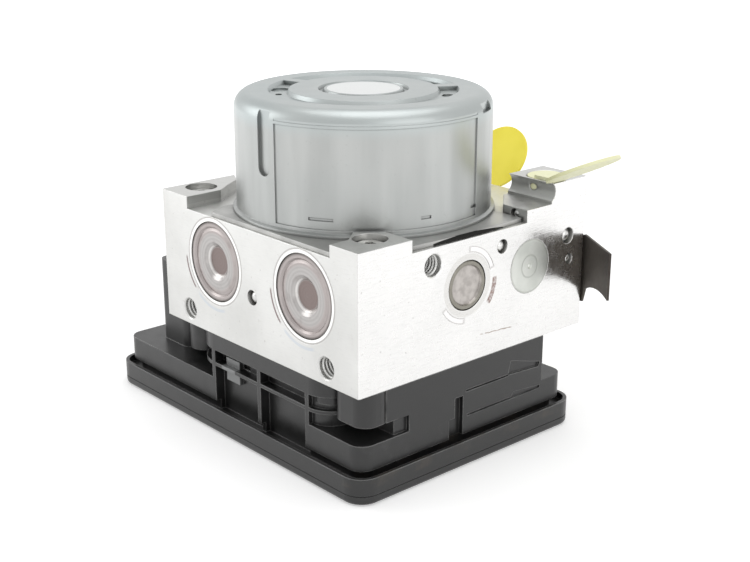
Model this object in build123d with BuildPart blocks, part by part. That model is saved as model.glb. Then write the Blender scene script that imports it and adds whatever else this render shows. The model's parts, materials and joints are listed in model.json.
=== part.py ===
from build123d import *
from math import asin, atan2, cos, degrees, hypot, radians, sin
import os

os.makedirs("parts", exist_ok=True)

# Anti-lock brake unit: a machined valve block carries a pump motor on top and an electronic
# controller below. The unit stands on the controller's cover. X runs to the unit's right,
# Y to its rear and Z up. The origin is the centre of the cover's underside.

# ---------------------------------------------------------------- driving dimensions, mm
# Valve block
block_width = 99.6
block_depth = 98.3
block_height = 44.0
pocket_depth = 4.0
block_overhang_front = 0.5
block_overhang_rear = 6.7
pad_screw_inset_x = 9.5
pad_screw_inset_left = 6.4
pad_screw_inset_y = 12.8
left_screw_inset_y = 11.3
rear_screw_inset_y = 24.25
counterbore_radius = 5.35
counterbore_depth = 5.0
block_screw_hole_radius = 2.75
tower_width = 19.0
tower_depth = 16.8
tower_height = 6.6
rear_ledge_depth = 28.3
rear_ledge_width = 10.5
tower_groove_radius = 3.4
port_inset = 9.5
port_inset_rear = 9.0
port_radius = 6.3
top_port_depth = 15.0
wheel_port_radius = 5.0
wheel_port_depths = [15.0, 14.4, 13.8, 13.2]
wheel_port_height = 24.2
wheel_port_spacing = 20.0
wheel_port_inset = 20.4
port_mouth_chamfer = 0.6
mount_hole_radius = 3.4
front_mount_depths = [9.5, 9.0]
side_mount_depth = 9.5
mount_mouth_chamfer = 0.4
front_mount_height = 5.3
front_mount_inset_left = 13.6
front_mount_inset_right = 14.8
side_mount_offset = 14.4
side_mount_height = 34.4
damper_radius = 8.9
damper_depth = 9.0
damper_offset = 28.2
damper_height = 25.4

# Pump
shaft_offset_x = 2.1
shaft_offset_y = -5.35
pump_height = 25.2
eccentric_throw = 1.5
journal_radius = 5.5
needle_radius = 0.9
needle_count = 12
eccentric_ring_wall = 1.6
eccentric_width = 8.0
chamber_radius = 11.0
chamber_clear_below = 7.0
piston_radius = 3.2
piston_length = 21.0
piston_head_radius = 4.4
piston_head_length = 1.6
pump_bore_radius = 5.4
plug_radius = 8.0
plug_thickness = 5.0
plug_recess_radius = 6.5
plug_recess_depth = 0.7

# Accumulators
accumulator_spacing = 45.5
accumulator_radius = 11.0
accumulator_depth = 22.0
accumulator_cover_radius = 13.25
accumulator_cover_thickness = 3.2
accumulator_piston_length = 8.0
accumulator_piston_wall = 2.0
accumulator_travel = 8.0

# Valves
valve_edge = 13.8
valve_row_offset = 14.0
valve_collar_radius = 6.5
valve_collar_length = 8.0
valve_stem_radius = 3.6
valve_stem_length = 8.2
valve_dome_radius = 3.4
valve_dome_wall = 0.45
valve_dome_length = 14.2
plunger_length = 8.5
plunger_travel = 0.35
coil_radius = 7.7
coil_height = 11.0
yoke_wall = 0.9

# Motor
motor_radius = 41.2
motor_height = 37.9
motor_wall = 2.0
motor_top_thickness = 2.6
motor_shoulder_radius = 5.0
base_plate_thickness = 1.4
base_plate_setback = 0.65
can_foot_height = 0.8
can_foot_overhang = 1.2
magnet_thickness = 7.6
magnet_height = 20.0
magnet_arc = 72.0
air_gap = 0.7
core_length = 15.0
core_slots = 10
winding_height = 4.0
commutator_radius = 9.5
commutator_height = 6.4
shaft_radius = 5.0
shaft_tip_radius = 4.0
bush_wall = 3.0
bush_length = 6.0
bearing_radius = 13.0
bearing_width = 8.0
bearing_ring_wall = 2.2
bearing_ball_radius = 2.0
bearing_balls = 8

contact_radius = 27.0
contact_sleeve_radius = 4.4

# Controller
connector_zone_width = 29.0
cover_thickness = 3.0
flange_thickness = 3.2
flange_overhang = 2.9
flange_corner_radius = 7.0
lip_height = 2.5
lip_width = 1.2
neck_height = 3.4
neck_inset = 1.8
band_height = 8.2
band_corner_radius = 5.0
chamber_height = 16.0
chamber_rear_setback = 11.55
ecu_wall = 2.4
panel_recess = 3.5
collar_height = 6.0
rib_width = 1.7
cross_rib_height = 1.2
cross_rib_level = 22.3
front_corner_radius = 9.0
left_corner_radius = 13.0
connector_width = 16.6
connector_length = 65.0
connector_height = 29.8
connector_wall = 2.0
connector_gap = 2.7
connector_floor = 6.0
pin_side = 0.8
pin_rise = 8.0
pin_columns = 15
pin_pitch = 3.8
pin_row_gap = 5.2
board_thickness = 1.6
board_level = 11.0
gasket_width = 2.2
gasket_height = 1.4

# Fasteners, tags and bracket
screw_radius = 2.5
screw_head_radius = 4.5
screw_head_height = 3.4
screw_length = 48.0
tag_radius = 12.0
tag_thickness = 1.0
tag_stem_width = 5.0
top_tag_rise = 27.0
rear_tag_lean = 32.7
port_plug_grip = 7.0
bracket_thickness = 0.8
bracket_height = 23.2
bracket_level = 7.6
bracket_width = 12.0
bracket_foot_slope = 4.0
bracket_bend_overhang = 0.5
bracket_leaf_length = 17.4
bracket_leaf_turn = 23.6
bracket_leaf_slope = 1.7
bracket_notch = 5.8
bracket_screw_radius = 2.4
bracket_screw_length = 8.0
bracket_head_radius = 4.0
bracket_head_height = 2.6
bracket_screw_inset = 6.6
bracket_screw_rise = 9.0

# Fits
running_fit = 0.05
slip_fit = 0.3
loose_fit = 0.6

# ---------------------------------------------------------------- places worked out
ecu_width = block_width + connector_zone_width
ecu_depth = block_depth - block_overhang_front - block_overhang_rear
ecu_front = -ecu_depth / 2
seam_z = cover_thickness
moat_z = seam_z + flange_thickness
lip_z = moat_z + lip_height
band_z = moat_z + neck_height
deck_z = band_z + band_height
block_z = deck_z + chamber_height
ceiling_z = deck_z - ecu_wall

block_right = ecu_width / 2
block_left = block_right - block_width
block_front = ecu_front - block_overhang_front
block_rear = block_front + block_depth
block_x = (block_left + block_right) / 2
block_y = (block_front + block_rear) / 2
block_top = block_z + block_height
pocket_z = block_top - pocket_depth
tower_top = block_top + tower_height

shaft_x = block_x + shaft_offset_x
shaft_y = block_y + shaft_offset_y
pump_z = block_z + pump_height
swept_radius = journal_radius + 2 * needle_radius + eccentric_ring_wall + eccentric_throw
chamber_floor = pump_z - eccentric_width / 2 - chamber_clear_below
bearing_z = pocket_z - bearing_width

valve_half_span = block_width / 2 - valve_edge
valve_columns = [shaft_x + valve_half_span * step / 3 for step in (-3, -1, 1, 3)]
valve_rows = [shaft_y - valve_row_offset, shaft_y + valve_row_offset]
valve_places = [(x, y) for y in valve_rows for x in valve_columns]

accumulator_x = [shaft_x - accumulator_spacing / 2, shaft_x + accumulator_spacing / 2]
front_mount_x = [block_left + front_mount_inset_left, block_right - front_mount_inset_right]
front_mount_z = block_z + front_mount_height
side_mount_y = shaft_y - side_mount_offset
side_mount_z = block_z + side_mount_height
port_x = [block_left + port_inset, block_right - port_inset]
port_y = block_rear - port_inset_rear
wheel_port_x = [block_left + wheel_port_inset + wheel_port_spacing * step for step in range(4)]
wheel_port_z = block_z + wheel_port_height

near_screw = (block_right - pad_screw_inset_x, block_front + pad_screw_inset_y)
left_screw = (block_left + pad_screw_inset_left, block_front + left_screw_inset_y)
rear_screw = (block_left + pad_screw_inset_left, block_rear - rear_screw_inset_y)
screw_places = [near_screw, left_screw, rear_screw]
screw_seat_z = block_top - counterbore_depth

plate_top = pocket_z + base_plate_thickness
motor_top = plate_top + motor_height

# Planes whose Z points out of a face of the block: local x runs to the viewer's right there
front_face = Plane(origin=(0, block_front, 0), x_dir=(1, 0, 0), z_dir=(0, -1, 0))
rear_face = Plane(origin=(0, block_rear, 0), x_dir=(-1, 0, 0), z_dir=(0, 1, 0))
right_face = Plane(origin=(block_right, 0, 0), x_dir=(0, 1, 0), z_dir=(1, 0, 0))
left_face = Plane(origin=(block_left, 0, 0), x_dir=(0, -1, 0), z_dir=(-1, 0, 0))

# Small sealed drillings: (face, x or y along it, z, ball radius)
front_drillings = [(shaft_x - 2.9, block_z + 18.2, 2.5)]
right_drillings = [
    (shaft_y + 15.2, block_z + 34.5, 2.3),
    (shaft_y + 46.2, block_z + 32.0, 2.7),
    (shaft_y + 47.2, block_z + 24.0, 1.75),
]
ball_sink = 0.4
drilling_spare = 0.8
ledge_drilling_x = block_right - 5.4
ledge_drilling_z = block_top - 2.1
ledge_ball_radius = 1.7
ledge_front_y = block_rear - rear_ledge_depth
bracket_low = block_z + bracket_level
bracket_inner_x = block_right - bracket_width
bracket_screw_x = block_right - bracket_screw_inset
bracket_screw_z = bracket_low + bracket_screw_rise
tower_front_y = block_rear - tower_depth
ledge_inner_x = block_right - rear_ledge_width
tower_inner_x = block_right - tower_width
motor_clearance = 1.5
contact_bore_radius = contact_sleeve_radius + slip_fit


def rounded_box(width, depth, radius, low, high, mode=Mode.ADD):
    """An upright block centred on the origin, with rounded corners, between two heights."""
    with BuildSketch(Plane.XY.offset(low)) as outline:
        RectangleRounded(width, depth, radius)
    extrude(outline.sketch, amount=high - low, mode=mode)


def upright_hole(x, y, radius, low, high, mode=Mode.SUBTRACT):
    """A round hole, or with Mode.ADD a round boss, between two heights."""
    with BuildSketch(Plane.XY.offset(low)) as outline:
        with Locations((x, y)):
            Circle(radius)
    extrude(outline.sketch, amount=high - low, mode=mode)


def bore(face, along, height, radius, depth, mode=Mode.SUBTRACT, start=0.0):
    """A round bore into a side face; along is measured on the face's own x axis."""
    with BuildSketch(face.offset(-start)) as outline:
        with Locations((along, height)):
            Circle(radius)
    extrude(outline.sketch, amount=-depth, mode=mode)


def mouth_chamfer(face, along, height, radius, size):
    """The countersunk edge of a bore's mouth."""
    with BuildSketch(face) as outline:
        with Locations((along, height)):
            Circle(radius + size)
    extrude(outline.sketch, amount=-size, taper=45, mode=Mode.SUBTRACT)


# ---------------------------------------------------------------- valve block
with BuildPart() as valve_block:
    with BuildSketch(Plane.XY.offset(block_z)):
        with Locations((block_x, block_y)):
            Rectangle(block_width, block_depth)
    extrude(amount=block_height)
    chamfer(valve_block.edges().filter_by(Axis.Z), length=0.4)
    # The milled pocket that the motor's base plate lies in leaves pads at the corners
    with BuildSketch(Plane.XY.offset(pocket_z)) as pocket:
        with Locations((block_x, block_y)):
            Rectangle(block_width + 2, block_depth + 2)
        with BuildLine():
            Polyline(
                (block_right - 12.5, block_front - 1),
                (block_right - 12.8, block_front + 7.5),
                (block_right - 18.8, block_front + 14.7),
                (block_right - 18.8, block_front + 18.0),
                (block_right - 16.2, block_front + 20.75),
                (block_right + 2, block_front + 20.75),
                (block_right + 2, block_front - 1),
                close=True,
            )
        make_face(mode=Mode.SUBTRACT)
        with BuildLine():
            Polyline(
                (block_left - 2, block_front - 1),
                (block_left - 2, block_front + 30.5),
                (block_left + 6.0, block_front + 26.0),
                (block_left + 10.4, block_front + 19.0),
                (block_left + 14.3, block_front + 13.5),
                (block_left + 14.5, block_front - 1),
                close=True,
            )
        make_face(mode=Mode.SUBTRACT)
        with BuildLine() as right_ledge_line:
            Polyline(
                (ledge_inner_x, ledge_front_y),
                (block_right + 2, ledge_front_y),
                (block_right + 2, block_rear + 2),
                (tower_inner_x, block_rear + 2),
                (tower_inner_x, tower_front_y - 2.2),
                (ledge_inner_x - 6.0, ledge_front_y + 7.0),
                close=True,
            )
        make_face(mode=Mode.SUBTRACT)
        with BuildLine():
            Polyline(
                (block_left - 2, ledge_front_y - 4.0),
                (block_left + rear_ledge_width + 2, ledge_front_y - 4.0),
                (block_left + rear_ledge_width + 6.0, ledge_front_y + 7.0),
                (block_left + tower_width, tower_front_y - 2.2),
                (block_left + tower_width, block_rear + 2),
                (block_left - 2, block_rear + 2),
                close=True,
            )
        make_face(mode=Mode.SUBTRACT)
        vertices = pocket.vertices().filter_by(
            lambda v: block_left < v.X < block_right and block_front < v.Y < block_rear
        )
        fillet(vertices, radius=1.4)
    extrude(amount=block_height, mode=Mode.SUBTRACT)
    # Port towers at the two rear corners
    with BuildSketch(Plane.XY.offset(block_top)):
        with Locations((block_right - tower_width / 2, block_rear - tower_depth / 2)):
            Rectangle(tower_width, tower_depth)
        with Locations((block_left + tower_width / 2, block_rear - tower_depth / 2)):
            Rectangle(tower_width, tower_depth)
    extrude(amount=tower_height)
    # A round-nosed cutter undercuts the front of both towers
    with BuildSketch(right_face):
        with Locations((tower_front_y - 1.75, block_top + 3.8)):
            Circle(tower_groove_radius)
    extrude(amount=-block_width, mode=Mode.SUBTRACT)
    # Clearance all round the motor
    upright_hole(shaft_x, shaft_y, motor_radius + motor_clearance, pocket_z, tower_top)
    # Ports
    for x in port_x:
        upright_hole(x, port_y, port_radius, tower_top - top_port_depth, tower_top)
        with BuildSketch(Plane.XY.offset(tower_top)):
            with Locations((x, port_y)):
                Circle(port_radius + port_mouth_chamfer)
        extrude(amount=-port_mouth_chamfer, taper=45, mode=Mode.SUBTRACT)
    for x, depth in zip(wheel_port_x, wheel_port_depths):
        bore(rear_face, -x, wheel_port_z, wheel_port_radius, depth)
        mouth_chamfer(rear_face, -x, wheel_port_z, wheel_port_radius, port_mouth_chamfer)
    bore(rear_face, -bracket_screw_x, bracket_screw_z, bracket_screw_radius, bracket_screw_length)
    # Threaded holes that carry the unit in its rubber mounts
    for x, depth in zip(front_mount_x, front_mount_depths):
        bore(front_face, x, front_mount_z, mount_hole_radius, depth)
        mouth_chamfer(front_face, x, front_mount_z, mount_hole_radius, mount_mouth_chamfer)
    bore(right_face, side_mount_y, side_mount_z, mount_hole_radius, side_mount_depth)
    mouth_chamfer(right_face, side_mount_y, side_mount_z, mount_hole_radius, mount_mouth_chamfer)
    # Accumulator chambers
    for x in accumulator_x:
        bore(front_face, x, pump_z, accumulator_radius, accumulator_depth)
        bore(front_face, x, pump_z, accumulator_cover_radius, accumulator_cover_thickness)
    # Pump: eccentric chamber, bearing seat and a bore from each side
    upright_hole(shaft_x, shaft_y, chamber_radius, chamber_floor, pocket_z)
    upright_hole(shaft_x, shaft_y, bearing_radius, bearing_z, pocket_z)
    for face, side in ((right_face, 1), (left_face, -1)):
        reach = block_right - shaft_x if side > 0 else shaft_x - block_left
        guide = chamber_radius + 12.0
        bore(face, side * shaft_y, pump_z, plug_radius, plug_thickness)
        bore(face, side * shaft_y, pump_z, pump_bore_radius, reach - guide)
        bore(face, side * shaft_y, pump_z, piston_radius + running_fit, reach)
    # Damper chamber and the sealed cross drillings
    bore(right_face, shaft_y + damper_offset, block_z + damper_height, damper_radius, damper_depth)
    for y, z, radius in right_drillings:
        bore(right_face, y, z, radius, 2 * radius + drilling_spare)
    for x, z, radius in front_drillings:
        bore(front_face, x, z, radius, 2 * radius + drilling_spare)
    ledge_face = Plane(origin=(0, ledge_front_y, 0), x_dir=(1, 0, 0), z_dir=(0, -1, 0))
    bore(
        ledge_face,
        ledge_drilling_x,
        ledge_drilling_z,
        ledge_ball_radius,
        2 * ledge_ball_radius + drilling_spare,
    )
    # Stepped valve bores open downward into the controller
    for x, y in valve_places:
        upright_hole(x, y, valve_collar_radius, block_z, block_z + valve_collar_length)
        upright_hole(x, y, valve_stem_radius, block_z, block_z + valve_collar_length + valve_stem_length)
    # The way through for the motor's contacts
    upright_hole(shaft_x, shaft_y + contact_radius, contact_bore_radius, block_z, pocket_z)
    # Screws that hold the controller
    for x, y in screw_places:
        upright_hole(x, y, counterbore_radius, screw_seat_z, block_top + 1)
        upright_hole(x, y, block_screw_hole_radius, block_z, screw_seat_z)
valve_block.part.label = "valve_block"
export_step(valve_block.part, "parts/valve_block.step")

# ---------------------------------------------------------------- seals and plugs of the block
with BuildPart() as block_ball_seals:
    for y, z, radius in right_drillings:
        with Locations((block_right - radius - ball_sink, y, z)):
            Sphere(radius - running_fit)
    for x, z, radius in front_drillings:
        with Locations((x, block_front + radius + ball_sink, z)):
            Sphere(radius - running_fit)
    with Locations((ledge_drilling_x, ledge_front_y + ledge_ball_radius + ball_sink, ledge_drilling_z)):
        Sphere(ledge_ball_radius - running_fit)
block_ball_seals.part.label = "block_ball_seals"
export_step(block_ball_seals.part, "parts/block_ball_seals.step")

with BuildPart() as damper_plug:
    with BuildSketch(right_face):
        with Locations((shaft_y + damper_offset, block_z + damper_height)):
            Circle(damper_radius)
    extrude(amount=-3.0)
    with BuildSketch(right_face):
        with Locations((shaft_y + damper_offset, block_z + damper_height)):
            Circle(0.9)
    extrude(amount=-0.8, taper=30, mode=Mode.SUBTRACT)
damper_plug.part.label = "damper_plug"
export_step(damper_plug.part, "parts/damper_plug.step")


# ---------------------------------------------------------------- pump
def spring(radius, wire, length, turns):
    """A coil spring of square wire that stands on XY between zero and its length."""
    with BuildPart() as coil:
        with BuildLine() as path:
            Helix(pitch=(length - wire) / turns, height=length - wire, radius=radius)
        with BuildSketch(Plane(origin=path.line @ 0, z_dir=path.line % 0)):
            Rectangle(wire, wire)
        sweep(is_frenet=True)
    return coil.part.moved(Location((0, 0, wire / 2)))


pump_reach = {"right": block_right - shaft_x, "left": shaft_x - block_left}
pump_face = {"right": right_face, "left": left_face}
pump_side = {"right": 1, "left": -1}
piston_stroke_gap = 0.12
piston_face = swept_radius + piston_stroke_gap
guide_end = chamber_radius + 12.0

for name in ("right", "left"):
    side = pump_side[name]
    line = Axis((shaft_x, shaft_y, pump_z), (side, 0, 0))
    profile_plane = Plane(origin=(shaft_x, shaft_y, pump_z), x_dir=(side, 0, 0), z_dir=(0, -side, 0))
    plug_inner = pump_reach[name] - plug_thickness
    with BuildPart() as pump_piston:
        with BuildSketch(profile_plane):
            with BuildLine():
                Polyline(
                    (piston_face, 0),
                    (piston_face, piston_radius - 0.4),
                    (piston_face + 0.4, piston_radius),
                    (guide_end + slip_fit + eccentric_throw, piston_radius),
                    (guide_end + slip_fit + eccentric_throw, piston_head_radius),
                    (guide_end + slip_fit + eccentric_throw + piston_head_length, piston_head_radius),
                    (guide_end + slip_fit + eccentric_throw + piston_head_length, 0),
                    close=True,
                )
            make_face()
        revolve(axis=line)
    pump_piston.part.label = f"pump_piston_{name}"
    export_step(pump_piston.part, f"parts/pump_piston_{name}.step")

    spring_start = guide_end + slip_fit + eccentric_throw + piston_head_length
    pump_spring = spring(3.7, 0.8, plug_inner - spring_start, 5).moved(
        Plane(
            origin=(shaft_x + side * spring_start, shaft_y, pump_z), x_dir=(0, 1, 0), z_dir=(side, 0, 0)
        ).location
    )
    pump_spring.label = f"pump_spring_{name}"
    export_step(pump_spring, f"parts/pump_spring_{name}.step")

    with BuildPart() as pump_plug:
        with BuildSketch(profile_plane):
            with BuildLine():
                Polyline(
                    (plug_inner, 0),
                    (plug_inner, plug_radius),
                    (pump_reach[name] - 0.5, plug_radius),
                    (pump_reach[name], plug_radius - 0.5),
                    (pump_reach[name], plug_recess_radius),
                    (pump_reach[name] - plug_recess_depth, plug_recess_radius - 0.4),
                    (pump_reach[name] - plug_recess_depth, 0),
                    close=True,
                )
            make_face()
        revolve(axis=line)
    pump_plug.part.label = f"pump_plug_{name}"
    export_step(pump_plug.part, f"parts/pump_plug_{name}.step")

# ---------------------------------------------------------------- accumulators
bore_end = accumulator_depth
piston_inner = bore_end - slip_fit
piston_outer = piston_inner - accumulator_piston_length
seal_groove = 1.0
for name, x in zip(("left", "right"), accumulator_x):
    section = Plane(origin=(x, block_front, pump_z), x_dir=(0, 1, 0), z_dir=(1, 0, 0))
    line = Axis((x, block_front, pump_z), (0, 1, 0))
    piston_r = accumulator_radius - running_fit
    groove_low = piston_outer + 3.0
    with BuildPart() as accumulator_piston:
        with BuildSketch(section):
            with BuildLine():
                Polyline(
                    (piston_inner, 0),
                    (piston_inner, piston_r - 0.5),
                    (piston_inner - 0.5, piston_r),
                    (groove_low + 2.0, piston_r),
                    (groove_low + 2.0, piston_r - seal_groove),
                    (groove_low, piston_r - seal_groove),
                    (groove_low, piston_r),
                    (piston_outer, piston_r),
                    (piston_outer, piston_r - accumulator_piston_wall),
                    (piston_inner - 2.5, piston_r - accumulator_piston_wall),
                    (piston_inner - 2.5, 0),
                    close=True,
                )
            make_face()
        revolve(axis=line)
    accumulator_piston.part.label = f"accumulator_piston_{name}"
    export_step(accumulator_piston.part, f"parts/accumulator_piston_{name}.step")

    with BuildPart() as accumulator_seal:
        with BuildSketch(section):
            with Locations((groove_low + 1.0, piston_r - seal_groove / 2)):
                Rectangle(1.8, seal_groove)
        revolve(axis=line)
    accumulator_seal.part.label = f"accumulator_seal_{name}"
    export_step(accumulator_seal.part, f"parts/accumulator_seal_{name}.step")

    spring_length = piston_inner - 2.5 - accumulator_cover_thickness
    accumulator_spring = spring(7.0, 1.3, spring_length, 4).moved(
        Plane(
            origin=(x, block_front + accumulator_cover_thickness, pump_z), x_dir=(1, 0, 0), z_dir=(0, 1, 0)
        ).location
    )
    accumulator_spring.label = f"accumulator_spring_{name}"
    export_step(accumulator_spring, f"parts/accumulator_spring_{name}.step")

    # The pressed cover: a raised rim, a shallow dish and a deeper centre
    with BuildPart() as accumulator_cover:
        with BuildSketch(section):
            with BuildLine():
                Polyline(
                    (accumulator_cover_thickness, 0),
                    (accumulator_cover_thickness, accumulator_cover_radius),
                    (0.5, accumulator_cover_radius),
                    (0.2, accumulator_cover_radius - 0.3),
                    (0.2, accumulator_cover_radius - 1.6),
                    (0.8, accumulator_cover_radius - 2.2),
                    (0.5, accumulator_cover_radius - 3.2),
                    (0.5, 6.4),
                    (1.0, 5.6),
                    (1.9, 4.6),
                    (1.9, 0),
                    close=True,
                )
            make_face()
        revolve(axis=line)
    accumulator_cover.part.label = f"accumulator_cover_{name}"
    export_step(accumulator_cover.part, f"parts/accumulator_cover_{name}.step")

# ---------------------------------------------------------------- motor housing
shaft_line = Axis((shaft_x, shaft_y, 0), (0, 0, 1))
half_section = Plane(origin=(shaft_x, shaft_y, 0), x_dir=(1, 0, 0), z_dir=(0, -1, 0))
can_inner = motor_radius - motor_wall
can_ceiling = motor_top - motor_top_thickness
bush_radius = shaft_tip_radius + running_fit + bush_wall
relief_depth = 0.4
relief_arc = 97.1
relief_start = -81.5
shoulder_line_z = motor_top - 5.2
plateau_radius = motor_radius - motor_shoulder_radius
rod_slot_width = 5.3
notch_arc = 11.0

with BuildPart() as motor_can:
    with BuildSketch(half_section):
        with BuildLine():
            Polyline(
                (can_inner, plate_top),
                (motor_radius + can_foot_overhang, plate_top),
                (motor_radius + can_foot_overhang, plate_top + can_foot_height),
                (motor_radius, plate_top + can_foot_height + 0.5),
                (motor_radius, motor_top - motor_shoulder_radius),
            )
            RadiusArc(
                (motor_radius, motor_top - motor_shoulder_radius),
                (plateau_radius, motor_top),
                -motor_shoulder_radius,
            )
            Polyline(
                (plateau_radius, motor_top),
                (30.4, motor_top),
                (29.6, motor_top - 1.3),
                (24.4, motor_top - 1.3),
                (23.6, motor_top),
                (14.5, motor_top),
                (14.0, motor_top - 1.0),
                (13.0, motor_top - 1.0),
                (12.5, motor_top),
                (0, motor_top),
                (0, can_ceiling),
                (bush_radius, can_ceiling),
                (bush_radius, can_ceiling - bush_length),
                (bush_radius + 1.6, can_ceiling - bush_length),
                (bush_radius + 1.6, can_ceiling),
                (can_inner - 3.0, can_ceiling),
                (can_inner, can_ceiling - 3.0),
                (can_inner, plate_top),
            )
        make_face()
    revolve(axis=shaft_line)
    # Two webs bridge the ring groove in the top
    for angle in (-165.0, 60.0):
        with BuildSketch(
            Plane(origin=(shaft_x, shaft_y, motor_top), x_dir=(cos(radians(angle)), sin(radians(angle)), 0))
        ):
            with Locations((27.0, 0)):
                Rectangle(7.4, 4.2)
        extrude(amount=-1.25)
    # Deeper pressed pockets in the ring groove, and crimps near the foot
    for angle, pocket_radius in ((-140.0, 2.6), (178.0, 1.7), (83.0, 1.9), (35.0, 1.7), (-122.0, 1.0)):
        with BuildSketch(
            Plane(
                origin=(shaft_x, shaft_y, motor_top),
                x_dir=(cos(radians(angle)), sin(radians(angle)), 0),
            )
        ):
            with Locations((27.0, 0)):
                SlotOverall(3.0 * pocket_radius, 2 * pocket_radius, rotation=90)
        extrude(amount=-1.9, mode=Mode.SUBTRACT)
    for first, last in ((-65.0, -54.0), (-16.4, -11.6), (12.4, 16.0)):
        with BuildSketch(
            Plane(
                origin=(shaft_x, shaft_y, 0),
                x_dir=(cos(radians(first)), sin(radians(first)), 0),
                z_dir=(sin(radians(first)), -cos(radians(first)), 0),
            )
        ):
            with Locations((motor_radius, plate_top + 5.3)):
                Rectangle(1.6, 0.9)
        revolve(axis=shaft_line, revolution_arc=last - first, mode=Mode.SUBTRACT)
    # The wall is ironed slightly thinner over the front sector
    for low, high, depth in (
        (plate_top + can_foot_height + 1.5, shoulder_line_z, relief_depth),
        (shoulder_line_z + 0.9, shoulder_line_z + 1.7, relief_depth / 2),
    ):
        with BuildSketch(
            Plane(
                origin=(shaft_x, shaft_y, 0),
                x_dir=(cos(radians(relief_start)), sin(radians(relief_start)), 0),
                z_dir=(sin(radians(relief_start)), -cos(radians(relief_start)), 0),
            )
        ):
            with Locations((motor_radius - depth + 2.0, (low + high) / 2)):
                Rectangle(4.0, high - low)
        revolve(axis=shaft_line, revolution_arc=relief_arc, mode=Mode.SUBTRACT)
    # A blind press slot at the front left and a shallow notch at the right of the rim
    slot_angle = -88.0
    with BuildSketch(
        Plane(
            origin=(shaft_x, shaft_y, 0),
            x_dir=(-sin(radians(slot_angle)), cos(radians(slot_angle)), 0),
            z_dir=(cos(radians(slot_angle)), sin(radians(slot_angle)), 0),
        ).offset(motor_radius - 1.1)
    ):
        with Locations((0, motor_top - 11.2)):
            RectangleRounded(rod_slot_width, 21.4, rod_slot_width / 2 - 0.01)
    extrude(amount=8.0, mode=Mode.SUBTRACT)
    with BuildSketch(
        Plane(
            origin=(shaft_x, shaft_y, 0),
            x_dir=(cos(radians(21.0)), sin(radians(21.0)), 0),
            z_dir=(sin(radians(21.0)), -cos(radians(21.0)), 0),
        )
    ):
        with Locations((motor_radius, motor_top - 2.3)):
            Rectangle(2.4, 4.6)
    revolve(axis=shaft_line, revolution_arc=notch_arc, mode=Mode.SUBTRACT)
motor_can.part.label = "motor_can"
export_step(motor_can.part, "parts/motor_can.step")

with BuildPart() as motor_base_plate:
    with BuildSketch(Plane.XY.offset(pocket_z)) as plate_outline:
        with Locations((shaft_x, shaft_y)):
            Circle(motor_radius + can_foot_overhang + 0.2)
        with BuildLine():
            Polyline(
                (shaft_x - 24.3, block_front + base_plate_setback),
                (block_right - 12.5 - loose_fit - 0.1, block_front + base_plate_setback),
                (block_right - 12.8 - loose_fit, block_front + 7.8),
                (block_right - 18.8 - loose_fit, block_front + 14.9),
                (block_right - 18.8 - loose_fit, block_front + 18.3),
                (block_right - 16.4, block_front + 20.75 + loose_fit),
                (block_right - 2.0, block_front + 20.75 + loose_fit),
            )
            ThreePointArc(
                (block_right - 2.0, block_front + 20.75 + loose_fit),
                (block_right - 1.0, shaft_y - 2.0),
                (block_right - 2.0, ledge_front_y - loose_fit),
            )
            Polyline(
                (block_right - 2.0, ledge_front_y - loose_fit),
                (ledge_inner_x - 0.6, ledge_front_y - loose_fit),
                (shaft_x + 20.0, shaft_y + 20.0),
                (shaft_x - 20.0, shaft_y),
                (shaft_x - 28.3, block_front + 8.6),
                (shaft_x - 24.3, block_front + base_plate_setback),
            )
        make_face()
    extrude(amount=base_plate_thickness)
    upright_hole(shaft_x, shaft_y, shaft_radius + 3.0, pocket_z, plate_top)
    upright_hole(
        shaft_x, shaft_y + contact_radius, contact_sleeve_radius + slip_fit, pocket_z, plate_top
    )
motor_base_plate.part.label = "motor_base_plate"
export_step(motor_base_plate.part, "parts/motor_base_plate.step")

# ---------------------------------------------------------------- magnets and armature
commutator_z = plate_top + 1.6
core_z = commutator_z + commutator_height + winding_height + 0.3
magnet_outer = can_inner - 0.05
magnet_inner = magnet_outer - magnet_thickness
core_radius = magnet_inner - air_gap
magnet_z = core_z + (core_length - magnet_height) / 2

with BuildPart() as motor_magnets:
    with BuildSketch(
        Plane(
            origin=(shaft_x, shaft_y, 0),
            x_dir=(cos(radians(-magnet_arc / 2)), sin(radians(-magnet_arc / 2)), 0),
            z_dir=(sin(radians(-magnet_arc / 2)), -cos(radians(-magnet_arc / 2)), 0),
        )
    ):
        with Locations(((magnet_inner + magnet_outer) / 2, magnet_z + magnet_height / 2)):
            Rectangle(magnet_thickness, magnet_height)
    revolve(axis=shaft_line, revolution_arc=magnet_arc)
    first_magnet = motor_magnets.part
    for turn in (90, 180, 270):
        add(first_magnet.rotate(shaft_line, turn))
motor_magnets.part.label = "motor_magnets"
export_step(motor_magnets.part, "parts/motor_magnets.step")

with BuildPart() as armature_core:
    with BuildSketch(Plane((shaft_x, shaft_y, core_z))):
        Circle(core_radius)
        Circle(shaft_radius, mode=Mode.SUBTRACT)
        with PolarLocations(core_radius - 7.0, core_slots):
            SlotCenterToCenter(7.0, 5.0, mode=Mode.SUBTRACT)
        with PolarLocations(core_radius, core_slots):
            Rectangle(6.0, 1.8, mode=Mode.SUBTRACT)
    extrude(amount=core_length)
armature_core.part.label = "armature_core"
export_step(armature_core.part, "parts/armature_core.step")

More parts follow.
